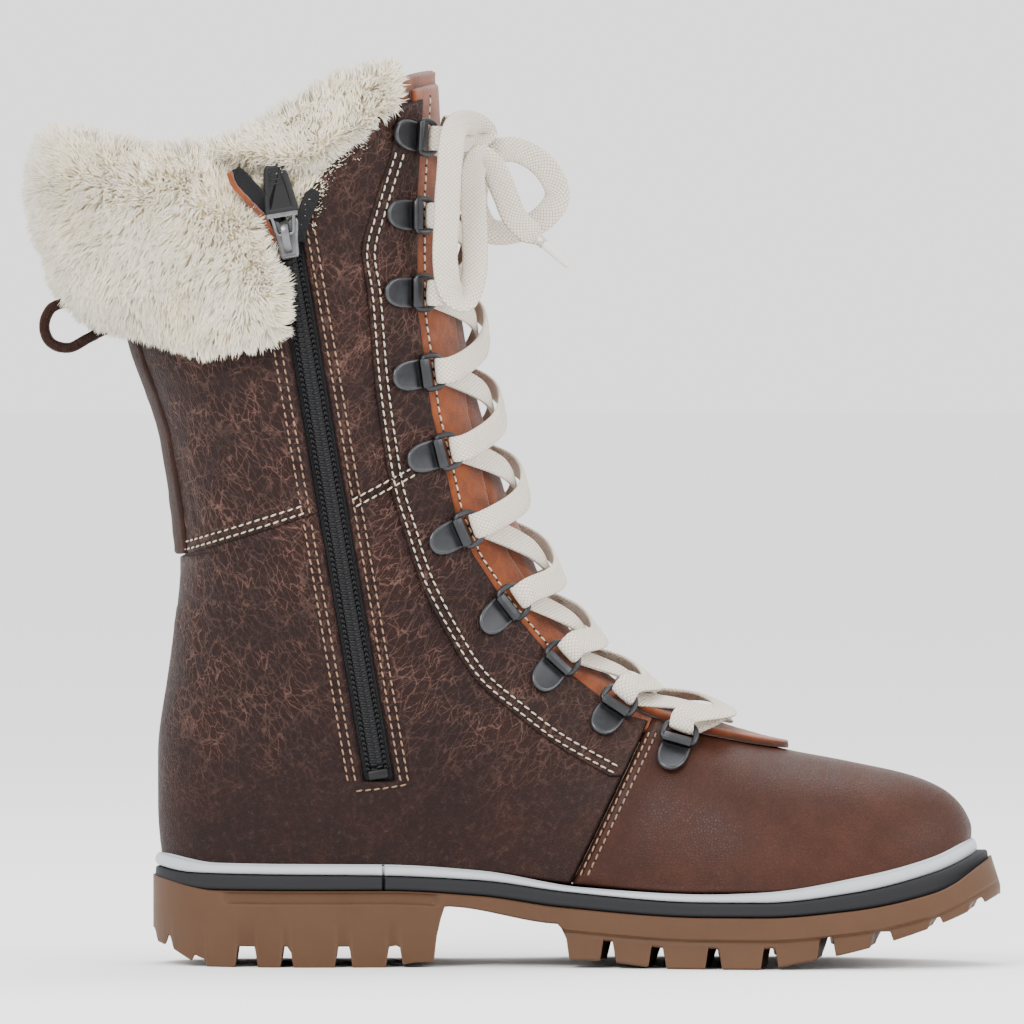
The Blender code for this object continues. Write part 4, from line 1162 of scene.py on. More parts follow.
# suede: underlays, tongue and tip
def addUnderlay(side, name):
    # the suede strip that shows in front of the facing, widening above the foot and narrowing towards the top
    h = np.linspace(0.34, 1.012, 230)
    back = angleWhere(h, shifted(throatX, -3.0))
    _, z = ringPoint(h, back)
    widths = panels["strip"] * smooth(z, 68, 94) * (1 - 0.55 * smooth(z, 262, 300))
    fore = np.array([angleWhere(level, shifted(throatX, float(wide))) for level, wide in zip(h, widths)])
    fore = np.minimum(fore, math.pi - 0.03)
    angles = spreadTo([back, fore], [26])
    panel(name, h[:, None], angles * -side, -1.75, 1.5, finish["suede"], None, None,
          lambda p, d: 0.16 * ripple(p, 7.0, 12) + 0.10 * ripple(p, 1.6, 13))


def addTongue():
    h = np.linspace(ringVamp - 0.05, 1.03, 220)
    side = angleWhere(np.maximum(h, ringVamp), shifted(throatX, -9.0))
    angles = spreadTo([side, np.full(h.shape, math.pi), 2 * math.pi - side], [50, 50])
    turned = np.where(angles > math.pi, 2 * math.pi - angles, angles)
    bare = turned - angleWhere(h, throatX)[:, None]
    depth = blendOf(-5.2, -3.0, smooth(bare, 0.10, 0.5) * smooth(h, 0.42, 0.5)[:, None])
    panel("tongueBody", h[:, None], angles, depth, 2.3, finish["tongueSuede"], "tongue", None,
          lambda p, d: 0.45 * ripple(p, 14.0, 14) + 0.12 * ripple(p, 2.4, 15))


def addTongueTip():
    h = np.linspace(0.279, 0.385, 90)
    half = 0.43 * np.sqrt(np.clip((h - 0.279) / 0.05, 0, 1)) + 0.02
    half = half * (1 + 0.12 * smooth(h, 0.3, 0.38))
    angles = spreadTo([math.pi - half, math.pi + half], [46])
    panel("tongueFlap", h[:, None], angles, 0.6, 2.3, finish["suede"], "tongue_tip", None,
          lambda p, d: 0.4 * (1 - smooth(d, 1.0, 3.2)) + 0.12 * ripple(p, 2.0, 16))


addUnderlay(inner, "underlayInner")
addUnderlay(outer, "underlayOuter")
addTongue()
addTongueTip()


# stitching
sewing = {"pitch": 2.95, "stitch": 2.3, "radius": 0.31, "gap": 2.5, "holes": []}


def stitchRow(side, line, lift, pitch=None, slant=0.10):
    # small sunk stitches along a path of (x, height) on the leather
    pitch = pitch or sewing["pitch"]
    flatLine = splinePath(np.array(line, float), 0.5)
    on, _ = skin(flatLine[:, 0], flatLine[:, 1], side)
    run = lengthsOf(on)
    at = np.arange(pitch / 2, run[-1] - pitch / 2, pitch)
    x = np.interp(at, run, flatLine[:, 0])
    z = np.interp(at, run, flatLine[:, 1])
    centre, normal = skin(x, z, side, lift)
    ahead = np.stack([np.interp(at, run, np.gradient(column, run)) for column in on.T], 1)
    ahead = unit(ahead - normal * (ahead * normal).sum(1, keepdims=True))
    across = np.cross(normal, ahead)
    ahead = unit(ahead + across * slant)
    # a small dark body sunk between two stitches: the painted shade of the needle hole
    between = centre + ahead * (pitch / 2) - normal * 0.08
    sewing["holes"].append(stitchBodies(between, ahead, normal, 0.85, 0.36))
    return stitchBodies(centre, ahead, normal)


def stitchBodies(centre, ahead, normal, length=None, radius=None):
    length = length or sewing["stitch"]
    radius = radius or sewing["radius"]
    across = np.cross(normal, ahead)
    stops = np.array([-0.5, -0.4, -0.15, 0.15, 0.4, 0.5]) * length
    sizes = np.array([0.25, 0.8, 1.0, 1.0, 0.8, 0.25]) * radius
    sink = np.array([-0.34, -0.06, 0.08, 0.08, -0.06, -0.34])
    turns = np.arange(6) * math.pi / 3
    ring = across[:, None, None] * np.cos(turns)[None, None, :, None] * sizes[None, :, None, None]
    ring = ring + normal[:, None, None] * np.sin(turns)[None, None, :, None] * sizes[None, :, None, None]
    line = centre[:, None] + ahead[:, None] * stops[None, :, None] + normal[:, None] * sink[None, :, None]
    points = line[:, :, None] + ring
    count = len(centre)
    index = np.arange(count * 36).reshape(count, 6, 6)
    a, b = index[:, :-1], np.roll(index[:, :-1], -1, 2)
    c, d = np.roll(index[:, 1:], -1, 2), index[:, 1:]
    faces = np.stack([a, b, c, d], -1).reshape(-1, 4).tolist()
    faces += index[:, 0, ::-1].tolist() + index[:, -1].tolist()
    uv = np.stack(np.broadcast_arrays(stops[None, :, None], turns[None, None, :], np.zeros((count, 6, 6))),
                  -1)
    return points.reshape(-1, 3), faces, uv[..., :2].reshape(-1, 2)


def addStitches(name, rows, paint):
    points, faces = joined([(p, f) for p, f, _ in rows])
    uv = np.concatenate([u for _, _, u in rows])
    return addMesh(name, points, faces, finish[paint], uv=uv)


def beside(line, amount):
    # a line of (x, height) moved sideways, to its right when it runs up
    line = splinePath(np.array(line, float), 3.0)
    ahead = unit(np.gradient(line, axis=0))
    return line + np.stack([ahead[:, 1], -ahead[:, 0]], 1) * amount


def sewBoot():
    cream, tan = [], []
    gap = sewing["gap"]
    lift = panels["overlay"] + 0.38
    for side in (inner, outer):
        seam = panels["facingSeam"][1:][::-1]
        seam = [p for p in seam if p[0] < 107]
        cream.append(stitchRow(side, beside(seam, 1.5), lift))
        cream.append(stitchRow(side, beside(seam, 1.5 + gap), lift))
        back = panels["rearSeam"][1:-1]
        if side == outer:
            back = back + [(21.5, 156.8)]
        cream.append(stitchRow(side, beside(back, -1.6), 1.05))
        cream.append(stitchRow(side, beside(back, -1.6 - gap), 1.05))
        if side == inner:
            front = panels["frontSeam"][:-1]
            cream.append(stitchRow(side, beside(front, -0.2), 0.75))
            cream.append(stitchRow(side, beside(front, -0.2 + gap), 0.75))
        z = np.linspace(98.0, 292.0, 40)
        edge = np.stack([throatX(z) + 2.4, z], 1)
        cream.append(stitchRow(side, edge, -0.12, 3.0))
        z = np.linspace(30.5, 79.0, 12)
        for shift in (1.9, 1.9 + gap):
            tan.append(stitchRow(side, np.stack([seamX(z) + shift, z], 1), 0.75))
    z = np.linspace(62.0, 262.0, 50)
    zips = {-panels["slot"] - 3.0: 0.9, -panels["slot"] - 3.0 - gap: 0.9, panels["slot"] + 2.2: 0.25,
            panels["slot"] + 2.2 + gap: 0.25}
    for shift, up in zips.items():
        low = z[z > (150 if up > 0.5 else 0)]
        tan.append(stitchRow(inner, np.stack([zipX(low) + shift, low], 1), up))
        if up > 0.5:
            rest = z[z <= 152]
            tan.append(stitchRow(inner, np.stack([zipX(rest) + shift, rest], 1), 0.15))
    foot = form["zipEnd"] - 2.6
    middle = zipX(foot)
    tan.append(stitchRow(inner, [(middle - 8.6, foot - 0.4), (middle, foot + 0.4),
                                 (middle + 10.0, foot + 2.0)], 0.15))
    addStitches("creamStitching", cream, "cream")
    addStitches("tanStitching", tan, "tan")
    # dark bodies that paint the shade in the needle holes
    addStitches("needleHoles", sewing["holes"], "dark")


sewBoot()
report("panels sewn")


# sole: rand, midsole strip and lugged outsole
sole = {
    "gumToe": 236.9, "gumHeel": -48.2, "gumMargin": 5.0, "slit": 29.5,
    "ground": [
        (-50, 9.0), (-42, 6.0), (-34, 1.5), (-30, 0.0), (31, 0.0), (41, 1.7), (97, 2.6), (118, 0.6), (124,
                                                                                                      0.0),
        (156, 0.0), (168, 2.0), (187, 5.9), (206, 11.4), (221, 16.9), (236, 24.0),
    ],
    # each lug as (back, front) of its flat bottom
    "lugs": [
        (-46.5, -43.5), (-41.0, -34.5), (-29.6, -19.9), (-12.5, -4.7), (-0.6, 13.5), (19.2, 30.6), (36.0,
                                                                                                    46.6),
        (91.8, 102.3), (107.3, 118.4), (124.2, 137.3), (142.7, 155.8), (161.5, 174.6), (180.7, 192.5),
        (200.0, 211.8), (216.7, 225.5), (231.0, 235.6),
    ],
    # how deep the gaps between the lugs are, as (x, depth)
    "gaps": [(-50, 4.0), (-44, 4.0), (-36, 2.6), (-31, 2.6), (-22, 7.0), (176, 7.0), (193, 5.0), (203, 2.8),
             (240, 2.2)],
    # the drops below the rim where the side walls' rows lie
    "wallDrops": (9.6, 8.6, 8.1, 7.75, 7.4, 7.05, 6.6, 5.4, 4.7, 4.4, 4.1, 3.8, 2.6, 1.4, 0.8, 0.4, 0.0),
    "draft": 1.1, "arch": (50.0, 90.5),
}


def planEdge(x, side, margin, toe, heel):
    # half the sole's width, for a sole that stands out by margin and ends at toe and heel
    half = footWidth(x, side) + margin
    ahead = np.maximum((x - form["ball"]) / (toe - form["ball"]), 0)
    behind = np.maximum((form["spine"] - x) / (form["spine"] - heel), 0)
    half = half * np.sqrt(np.maximum(1 - ahead ** form["toePower"], 0))
    half = half * np.sqrt(np.maximum(1 - behind ** form["heelPower"], 0))
    return middleY(x) + side * half


def outline(margin, toe, heel, count=130):
    # a closed loop round the sole: the inner side from heel to toe, then the outer side back
    x = blendOf(heel, toe, (1 - np.cos(math.pi * np.arange(count + 1) / count)) / 2)
    near = np.stack([x, planEdge(x, inner, margin, toe, heel)], 1)
    far = np.stack([x, planEdge(x, outer, margin, toe, heel)], 1)
    loop = np.concatenate([near, far[-2:0:-1]])
    return evenly(np.concatenate([loop, loop[:1]]), 1.6)[:-1]


def withSlit(base):
    # the loop with extra points where the fine slit crosses its inner side
    loop = np.concatenate([base, base[:1]])
    far = lengthsOf(loop)
    near = np.argmin(np.abs(base[:, 0] - sole["slit"]) + 1000 * (base[:, 1] > 0))
    places = np.unique(np.concatenate([far[:-1], far[near] + np.arange(-1.9, 1.95, 0.17)]))
    places = places[np.append(True, np.diff(places) > 0.05)]
    return np.stack([np.interp(places, far, loop[:, k]) for k in range(2)], 1)


def slitShare(base):
    return np.exp(-((base[:, 0] - sole["slit"]) / 0.42) ** 4) * (base[:, 1] < 0)


def addRand():
    # a half-round silver-grey strip with a fine groove along its top
    base = withSlit(outline(0.0, form["toe"] - 1.4, form["heel"] + 2.4))
    slit = slitShare(base)
    low, high = curve["weltTop"](base[:, 0]) + 0.1, curve["randTop"](base[:, 0])
    ahead = unit(np.roll(base, -1, 0) - np.roll(base, 1, 0))
    out = np.stack([ahead[:, 1], -ahead[:, 0]], 1)
    profile = [(-0.4, 0.0), (2.5, 0.02), (3.05, 0.14), (3.3, 0.32), (3.25, 0.52), (2.9, 0.70), (2.3, 0.84),
               (1.75, 0.90), (1.6, 0.86), (1.35, 0.88), (1.0, 1.0), (0.2, 1.02), (-0.4, 0.9)]
    loops = []
    for stand, share in profile:
        at = base + out * (stand - 2.2 * slit * (stand > 0.5))[:, None]
        loops.append(np.column_stack([at, blendOf(low, high, share)]))
    points, faces = ringsRound(loops)
    piece = addMesh("randStrip", points, faces, finish["grey"])
    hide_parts("rand")


def ringsRound(loops):
    # a closed band through loops of equal count, last joined to first
    count, turns = len(loops[0]), len(loops)
    index = np.arange(turns * count).reshape(turns, count)
    a, b = index, np.roll(index, -1, 1)
    c, d = np.roll(np.roll(index, -1, 0), -1, 1), np.roll(index, -1, 0)
    return np.concatenate(loops), np.stack([a, b, c, d], -1).reshape(-1, 4).tolist()


def addMidsole():
    # the black strip: proud, with a rounded lip, and cut through by a fine slit on the inner side
    base = withSlit(outline(0.0, 228.4, -43.1))
    low, high = curve["soleTop"](base[:, 0]) + 0.25, curve["weltTop"](base[:, 0]) - 0.15
    ahead = unit(np.roll(base, -1, 0) - np.roll(base, 1, 0))
    out = np.stack([ahead[:, 1], -ahead[:, 0]], 1)
    slit = slitShare(base)
    profile = [(-14.0, 0.0), (3.6, 0.0), (4.2, 0.06), (4.45, 0.2), (4.3, 0.34), (4.15, 0.5), (4.15, 0.78),
               (3.9, 0.94),
               (3.4, 1.0), (-14.0, 1.0)]
    loops = []
    for stand, share in profile:
        at = base + out * (stand - 2.6 * slit * (stand > 0))[:, None]
        loops.append(np.column_stack([at, blendOf(low, high, share)]))
    points, faces = ringsRound(loops)
    piece = addMesh("midsoleStrip", points, faces, finish["black"])
    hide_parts("midsole")


def treadHeight(x, y):
    # the height of the tread's underside: lugs along the rim, with a lower web down the middle
    ground = smoothLine(sole["ground"])
    flat = ground(x)
    top = curve["soleTop"](x)
    deep = np.minimum(flat + smoothLine(sole["gaps"])(x), top - 4.5)
    arch = smooth(x, sole["arch"][0] - 3.4, sole["arch"][0] + 0.4) * (1 - smooth(x, 88.0, 91.5))
    archHeight = blendOf(20.4, 14.6, smooth(x, 50, 90))
    near = planEdge(x, inner, 0.0, sole["gumToe"], sole["gumHeel"])
    far = planEdge(x, outer, 0.0, sole["gumToe"], sole["gumHeel"])
    share = np.clip((y - near) / np.maximum(far - near, 1), 0, 1)
    inside = np.minimum(share, 1 - share)
    lug = np.zeros(x.shape)
    for low, high in sole["lugs"]:
        lean = 3.0 * smooth(inside, 0.0, 0.3) * (1 if low > 60 else 0)
        on = smooth(x, low - sole["draft"] + lean, low + 0.25 + lean)
        off = 1 - smooth(x, high - 0.25 + lean, high + sole["draft"] + lean)
        lug = np.maximum(lug, on * off)
    groove = smooth(inside, 0.27, 0.30) * (1 - smooth(inside, 0.36, 0.39)) * 0.8
    lug = lug * (1 - groove)
    under = blendOf(deep, flat, lug)
    sipe = np.exp(-((inside - 0.16) / 0.012) ** 2) * 1.2 * lug
    return np.maximum(blendOf(under + sipe, archHeight, arch), flat)


def addOutsole():
    # rows run along the sole and columns from the inner wall, under the tread, to the outer wall
    stations = [sole["gumHeel"] + 0.15]
    x = sole["gumHeel"] + 0.6
    while x < sole["gumToe"] - 0.15:
        near = min(min(abs(x - e) for e in lug) for lug in sole["lugs"])
        stations.append(x)
        x += 0.42 if near < 1.9 else 1.3
    x = np.array(stations)
    inward = np.concatenate([np.linspace(0, 0.5, 34) ** 1.25 / 0.5 ** 0.25])
    share = np.concatenate([inward, 1 - inward[-2::-1]])
    near = planEdge(x, inner, sole["gumMargin"], sole["gumToe"], sole["gumHeel"])
    far = planEdge(x, outer, sole["gumMargin"], sole["gumToe"], sole["gumHeel"])
    y = near[:, None] + (far - near)[:, None] * share
    grid = np.broadcast_to(x[:, None], y.shape)
    z = treadHeight(grid, y)
    top = curve["soleTop"](x)
    rim = np.minimum(share, 1 - share)[None, :] * (far - near)[:, None]
    z = z + 0.7 * (1 - np.sqrt(np.maximum(1 - np.clip(1 - rim / 1.0, 0, 1) ** 2, 0)))
    bottom = np.stack([grid, y, z], -1)
    walls = []
    for edge, side, low in ((near, inner, z[:, 0]), (far, outer, z[:, -1])):
        column = []
        for step, drop in enumerate((99.0,) + sole["wallDrops"]):
            height = np.maximum(top - drop, low + 0.01 * step)
            line = top - 7.4
            fore = smooth(x, 62.0, 90.0)
            band = smooth(height, line - 0.35, line + 0.35) * fore
            groove = 0.4 * np.exp(-((height - line + 0.7) / 0.45) ** 2) * fore
            stand = 0.9 * band - groove - panelRecess(x, height, top) - 0.6 * (drop == 0)
            column.append(np.stack([x, edge + side * stand, height], -1))
        walls.append(np.stack(column, 1))
    inside = np.linspace(0.06, 0.94, 9)
    cover = np.stack([np.stack([x, near + (far - near) * part, top - 0.05], -1) for part in inside], 1)
    loops = np.concatenate([walls[0][:, ::-1], bottom[:, 1:-1], walls[1], cover[:, ::-1]], 1)
    # the toe's wall leans back towards its rim
    below = loops[..., 2] - curve["soleTop"](loops[..., 0])
    loops[..., 0] -= 3.0 * smooth(loops[..., 0], 218.0, sole["gumToe"]) * smooth(below, -11.0, 0.0)
    rows, columns = loops.shape[:2]
    index = np.arange(rows * columns).reshape(rows, columns)
    a, b = index[:-1], np.roll(index[:-1], -1, 1)
    c, d = np.roll(index[1:], -1, 1), index[1:]
    faces = np.stack([a, b, c, d], -1).reshape(-1, 4).tolist()
    faces += [index[0][::-1].tolist(), index[-1].tolist()]
    points = loops.reshape(-1, 3)
    edge = smooth(8.0 - points[:, 2], 0, 8) * 0.4
    piece = addMesh("lugSole", points, faces, finish["gum"], values={"edge": edge})
    piece.data.set_sharp_from_angle(angle=0.7)
    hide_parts("outsole")


def panelRecess(x, height, top):
    # the long shallow panel sunk into the heel's side wall
    low = top - 4.2
    along = smooth(x, -24.0, -22.4) * (1 - smooth(x, 46.0, 49.0))
    return 1.1 * along * smooth(height, low - 0.3, low + 0.3) * (1 - smooth(height, top - 0.9, top - 0.4))


addRand()
addMidsole()
addOutsole()
report("sole moulded")


# zip: tape, coil, slider and puller
zipper = {
    "up": (-0.165663, -0.080843, 0.982863), "across": (0.985804, -0.041171, 0.162772), "length": 193.0,
    "pivot": (-2.978, -51.552, 246.448), "pivotAlong": 188.0, "pivotRise": 3.9, "tapeHalf": 11.4,
    "pitch": 1.75, "coilHalf": 2.7, "coilRadius": 0.5,
}
zipUp = unit(zipper["up"])
zipAcross = unit(zipper["across"])
zipOut = unit(np.cross(zipAcross, zipUp))
zipPivot = np.array(zipper["pivot"])
zipLow = zipPivot - zipUp * zipper["pivotAlong"] - zipOut * zipper["pivotRise"]


def onZip(across, along, out):
    # points beside the closed chain, from its foot
    across, along, out = np.broadcast_arrays(across, along, out)
    return zipLow + across[..., None] * zipAcross + along[..., None] * zipUp + out[..., None] * zipOut


def onCoil(across, along, offset):
    # points beside the chain where the leg's curve carries it, at an offset from the leather's face
    z = zipLow[2] + along * zipUp[2]
    return skin(zipX(z) + across, z, inner, offset)[0]


def slab(outline, profile, axes, origin, edges=None):
    # a bevelled plate: outline is a closed loop of (a, b), profile is (inset, height) from below to above
    outline = np.asarray(outline, float)
    area = (outline[:, 0] * np.roll(outline[:, 1], -1) - outline[:, 1] * np.roll(outline[:, 0], -1)).sum()
    if area < 0:
        outline = outline[::-1]
    run = unit(np.roll(outline, -1, 0) - np.roll(outline, 1, 0))
    out = np.stack([run[:, 1], -run[:, 0]], 1)
    loops = []
    for inset, height in profile:
        at = outline - out * inset
        loops.append(origin + at[:, :1] * axes[0] + at[:, 1:] * axes[1] + height * axes[2])
    turns, count = len(loops), len(outline)
    index = np.arange(turns * count).reshape(turns, count)
    a, b = index[:-1], np.roll(index[:-1], -1, 1)
    c, d = np.roll(index[1:], -1, 1), index[1:]
    faces = np.stack([a, b, c, d], -1).reshape(-1, 4).tolist()
    faces += [index[0][::-1].tolist(), index[-1].tolist()]
    worn = np.repeat(edges if edges is not None else np.zeros(turns), count)
    if np.dot(np.cross(axes[0], axes[1]), axes[2]) < 0:
        faces = [face[::-1] for face in faces]
    return np.concatenate(loops), faces, worn


def addTape():
    z = np.linspace(47.0, 251.0, 220)
    side = np.linspace(-zipper["tapeHalf"], zipper["tapeHalf"], 44)
    grid = np.broadcast_to(z[:, None], (len(z), len(side)))
    x = zipX(grid) + side[None, :]
    fold = 0.35 * np.exp(-((np.abs(side) - 4.0) / 0.8) ** 2)[None, :]
    front, _ = skin(x, grid, inner, -2.55 + fold)
    back, _ = skin(x, grid, inner, -3.3)
    points, faces, used = shell(front, back)
    uv = np.stack(np.broadcast_arrays(side[None, :], grid), -1).reshape(-1, 2)
    uv = np.concatenate([uv, uv])[used]
    piece = addMesh("wovenTape", points, faces, finish["tape"], uv=uv)
    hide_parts("zip_tape")


def addCoil():
    # interlocked loops of the coil, each a short slanting bead, over a thin core
    along = np.arange(4.5, zipper["length"] - 8.0, zipper["pitch"])
    parts = []
    for hand in (-1, 1):
        centre = onCoil(hand * 0.95, along + 0.44 * hand, -1.6)
        ahead = unit(zipAcross * hand + zipUp * 0.22)
        ahead = np.broadcast_to(ahead, centre.shape)
        normal = np.broadcast_to(zipOut, centre.shape)
        normal = unit(normal - ahead * (ahead * normal).sum(1, keepdims=True))
        points, faces, _ = stitchBodies(centre, ahead, normal, zipper["coilHalf"], zipper["coilRadius"])
        parts.append((points, faces))
        for shift, lean in ((2.75, 0.5), (3.45, -0.5)):
            rim = onCoil(hand * shift, along + 0.44 * hand, -1.85)
            leaning = np.broadcast_to(unit(zipUp + zipAcross * lean * hand), rim.shape)
            points, faces, _ = stitchBodies(rim, leaning, np.broadcast_to(zipOut, rim.shape), 1.7, 0.38)
            parts.append((points, faces))
    core = tube(onCoil(0.0, np.linspace(4.0, zipper["length"] - 7.0, 60), -2.0), zipAcross,
                roundSection(2.4, 0.3, 10))
    foot = slab(roundedBox(3.4, 1.6, 0.7, 2.6), [(0.3, -1.5), (0.0, -1.3), (0.0, 0.0), (0.4, 0.3)],
                (zipAcross, zipUp, zipOut), zipLow)
    points, faces = joined(parts + [core, foot[:2]])
    uv = points[:, [0, 2]]
    piece = addMesh("coilChain", points, faces, finish["coil"], uv=uv)
    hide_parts("zip_chain")


def roundedBox(half, deep, corner, middle=0.0, steps=5):
    # a rectangle with rounded corners, about (0, middle)
    made = []
    for turn, (cx, cy) in enumerate(((1, 1), (-1, 1), (-1, -1), (1, -1))):
        for k in range(steps + 1):
            angle = math.pi / 2 * (turn + k / steps)
            made.append((cx * (half - corner) + corner * math.cos(angle),
                         middle + cy * (deep - corner) + corner * math.sin(angle)))
    return made


def addSlider():
    top = zipper["length"]
    axes = (zipAcross, zipUp, zipOut)
    half = [(2.7, -14.4), (3.3, -13.4), (3.5, -11.0), (3.8, -8.0), (4.5, -4.6), (4.9, -2.6), (4.6, -1.2),
            (3.6, -0.6),
            (2.2, -0.9), (1.0, -1.9), (0.0, -2.3)]
    loop = [(w, s + top) for w, s in half] + [(-w, s + top) for w, s in half[-2::-1]]
    loop = evenly(np.array(loop + loop[:1]), 0.5)[:-1]
    topShell = slab(loop, [(0.5, -0.25), (0.0, 0.0), (0.0, 1.35), (0.18, 1.75), (0.6, 2.05), (1.1, 2.15)],
                    axes, zipLow,
                  [0, 0.2, 0.3, 1.0, 0.5, 0.1])
    lower = slab(loop, [(0.7, -1.75), (0.1, -1.6), (0.1, -1.3), (0.3, -1.1)], axes, zipLow,
                 [0, 0.4, 0.4, 0])
    post = slab([(-1.0, top - 6), (1.0, top - 6), (1.3, top - 2.9), (0.0, top - 2.4), (-1.3, top - 2.9)],
                [(0.0, -1.3), (0.0, 0.1)], axes, zipLow)
    arch = [(-12.2, 1.6), (-11.6, 3.2), (-9.8, 4.6), (-7.2, 5.5), (-4.6, 5.5), (-2.9, 4.6), (-2.2, 3.1),
            (-1.9, 1.5)]
    arch = splinePath(np.array(arch), 0.35)
    path = onZip(0.0, arch[:, 0] + top, arch[:, 1])
    bridge = tube(path, zipAcross, roundSection(1.35, 0.5, 12, 0.6))
    hinge = tube(onZip(np.linspace(-1.9, 1.9, 5), zipper["pivotAlong"], zipper["pivotRise"] - 1.15), zipUp,
                 roundSection(0.45, 0.45, 10))
    points, faces = joined([topShell[:2], lower[:2], post[:2], bridge, hinge])
    worn = np.concatenate([topShell[2], lower[2], post[2], np.full(len(bridge[0]), 0.5),
                           np.zeros(len(hinge[0]))])
    piece = addMesh("sliderBody", points, faces, finish["steel"], "slider",
                    values={"edge": worn})
    piece.data.set_sharp_from_angle(angle=0.7)
    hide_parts("zip_slider")


def addPuller():
    # a steel link from the slider's bridge, and a tapered rubber tab that grips it
    axes = (zipAcross, zipUp, zipOut)
    frameLoop = [(2.3, -0.9), (2.9, 0.2), (3.3, 3.0), (3.9, 6.2), (3.2, 7.4), (0.0, 7.6), (-3.2, 7.4),
                 (-3.9, 6.2),
                 (-3.3, 3.0), (-2.9, 0.2), (-2.3, -0.9), (0.0, -1.1)]
    loop = evenly(np.array(frameLoop + frameLoop[:1], float), 0.45)[:-1]
    path = zipPivot + loop[:, :1] * zipAcross + loop[:, 1:] * zipUp
    link = tube(path, zipOut, roundSection(0.75, 0.62, 12, 0.8), True)
    collar = slab(roundedBox(5.2, 1.5, 0.5, 6.6), [(0.4, -1.35), (0.0, -1.15), (0.0, 1.15), (0.4, 1.35)],
                  axes,
                  zipPivot, [0.6, 1.0, 1.0, 0.3])
    points, faces = joined([link, collar[:2]])
    worn = np.concatenate([np.full(len(link[0]), 0.5), collar[2]])
    metal = addMesh("pullerLink", points, faces, finish["steel"], "puller",
                    values={"edge": worn})
    metal.data.set_sharp_from_angle(angle=0.9)
    half = [(5.5, 6.4), (5.55, 8.0), (5.0, 13.0), (4.2, 18.5), (3.6, 21.4), (3.0, 22.5), (2.0, 23.0)]
    loop = half + [(-w, s) for w, s in half[::-1]]
    loop = evenly(np.array(loop + loop[:1]), 0.5)[:-1]
    profile = [(0.9, -1.75), (0.3, -1.55), (0.0, -1.1), (0.0, 1.0), (0.25, 1.5), (0.75, 1.75), (1.3, 1.78),
               (1.5, 1.62),
               (1.8, 1.6)]
    points, faces, worn = slab(loop, profile, axes, zipPivot, [0, 0.5, 0.8, 0.8, 1.0, 0.6, 0.4, 0.1, 0.0])
    tab = addMesh("pullerTab", points, faces, finish["tab"], "puller",
                  values={"edge": worn})
    tab.data.set_sharp_from_angle(angle=0.9)
    ridges = []
    for k in range(4):
        across = np.linspace(-2.3 + 0.2 * k, 2.3 - 0.2 * k, 9)
        path = zipPivot + across[:, None] * zipAcross + zipUp * (16.4 + k * 1.5) + zipOut * 1.55
        ridges.append(tube(path, zipUp, roundSection(0.38, 0.32, 8)))
    points, faces = joined(ridges)
    grip = addMesh("pullerRidges", points, faces, finish["tab"], "puller")
    for piece in (metal, tab, grip):
        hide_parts("zip_puller")


def addGuards():
    # tape ends that part above the slider, and the suede binding along the left end's parted edge
    lines = {
        "left": [(-4.0, 243.0, 0.2), (-6.0, 250.0, 1.6), (-10.0, 257.0, 4.6), (-14.5, 263.0, 8.2),
                 (-17.5, 268.5, 10.5)],
        "right": [(2.2, 243.0, 0.2), (3.0, 250.0, 0.9), (4.6, 255.5, 1.5), (6.8, 260.5, 2.0)],
    }
    for hand, name in ((-1, "left"), (1, "right")):
        line = splinePath(np.array(lines[name]), 0.8)
        path, normal = skin(line[:, 0], line[:, 1], inner, 0.0)
        path = path + normal * line[:, 2:]
        ahead = unit(np.gradient(path, axis=0))
        side = unit(np.cross(ahead, normal)) * -hand
        share = np.linspace(0, 1, len(path))
        wide = blendOf(3.2, 5.2, smooth(share, 0.0, 0.7)) * (1 - 0.35 * smooth(share, 0.85, 1.0))
        stops = np.linspace(-1.0, 1.0, 9)
        front = path[:, None] + side[:, None] * (stops[None, :, None] * wide[:, None, None] * 0.5)
        front = front + normal[:, None] * (0.9 * stops ** 2)[None, :, None]
        points, faces, used = shell(front, front - normal[:, None] * 0.7)
        uv = np.stack(np.broadcast_arrays(stops[None, :] * wide[:, None], lengthsOf(path)[:, None]),
                      -1).reshape(-1, 2)
        addMesh("tapeEnd" + name.title(), points, faces, finish["tape"],
                uv=np.concatenate([uv, uv])[used])
        bind = path - side * (wide * 0.5 + 0.9)[:, None] + normal * 0.9
        points, faces = tube(bind, normal, roundSection(1.5, 0.95, 12, 0.8))
        points = points + 0.25 * ripple(points, 2.0, 31)[:, None]
        if hand < 0:
            addMesh("guardEdge", points, faces, finish["suede"])


addTape()
addCoil()
addSlider()
addPuller()
addGuards()
report("zip closed")


# plates and rings that hold the lace
plateShape = {
    "outline": [(5.0, 0.6), (5.15, 2.6), (5.2, 5.0), (4.9, 7.4), (4.1, 9.5), (2.9, 11.0), (1.4, 11.8),
                (0.0, 12.0)],
    "profile": [
        (0.3, -2.6), (0.0, -2.45), (0.0, -1.75), (0.16, -1.45), (0.5, -1.24), (0.95, -1.18), (1.2, -1.25),
        (1.5, -1.3),
    ],
    # brightest at the bevelled rim's crown: partly rubbed edge wear, partly a painted highlight
    "worn": [0.0, 0.2, 0.5, 1.0, 0.8, 0.35, 0.1, 0.0],
    "barrelHalf": 4.8, "barrelOuter": 2.05, "barrelInner": 1.2, "flat": 1.8, "ringHalf": 5.6, "wire": 1.0,
}


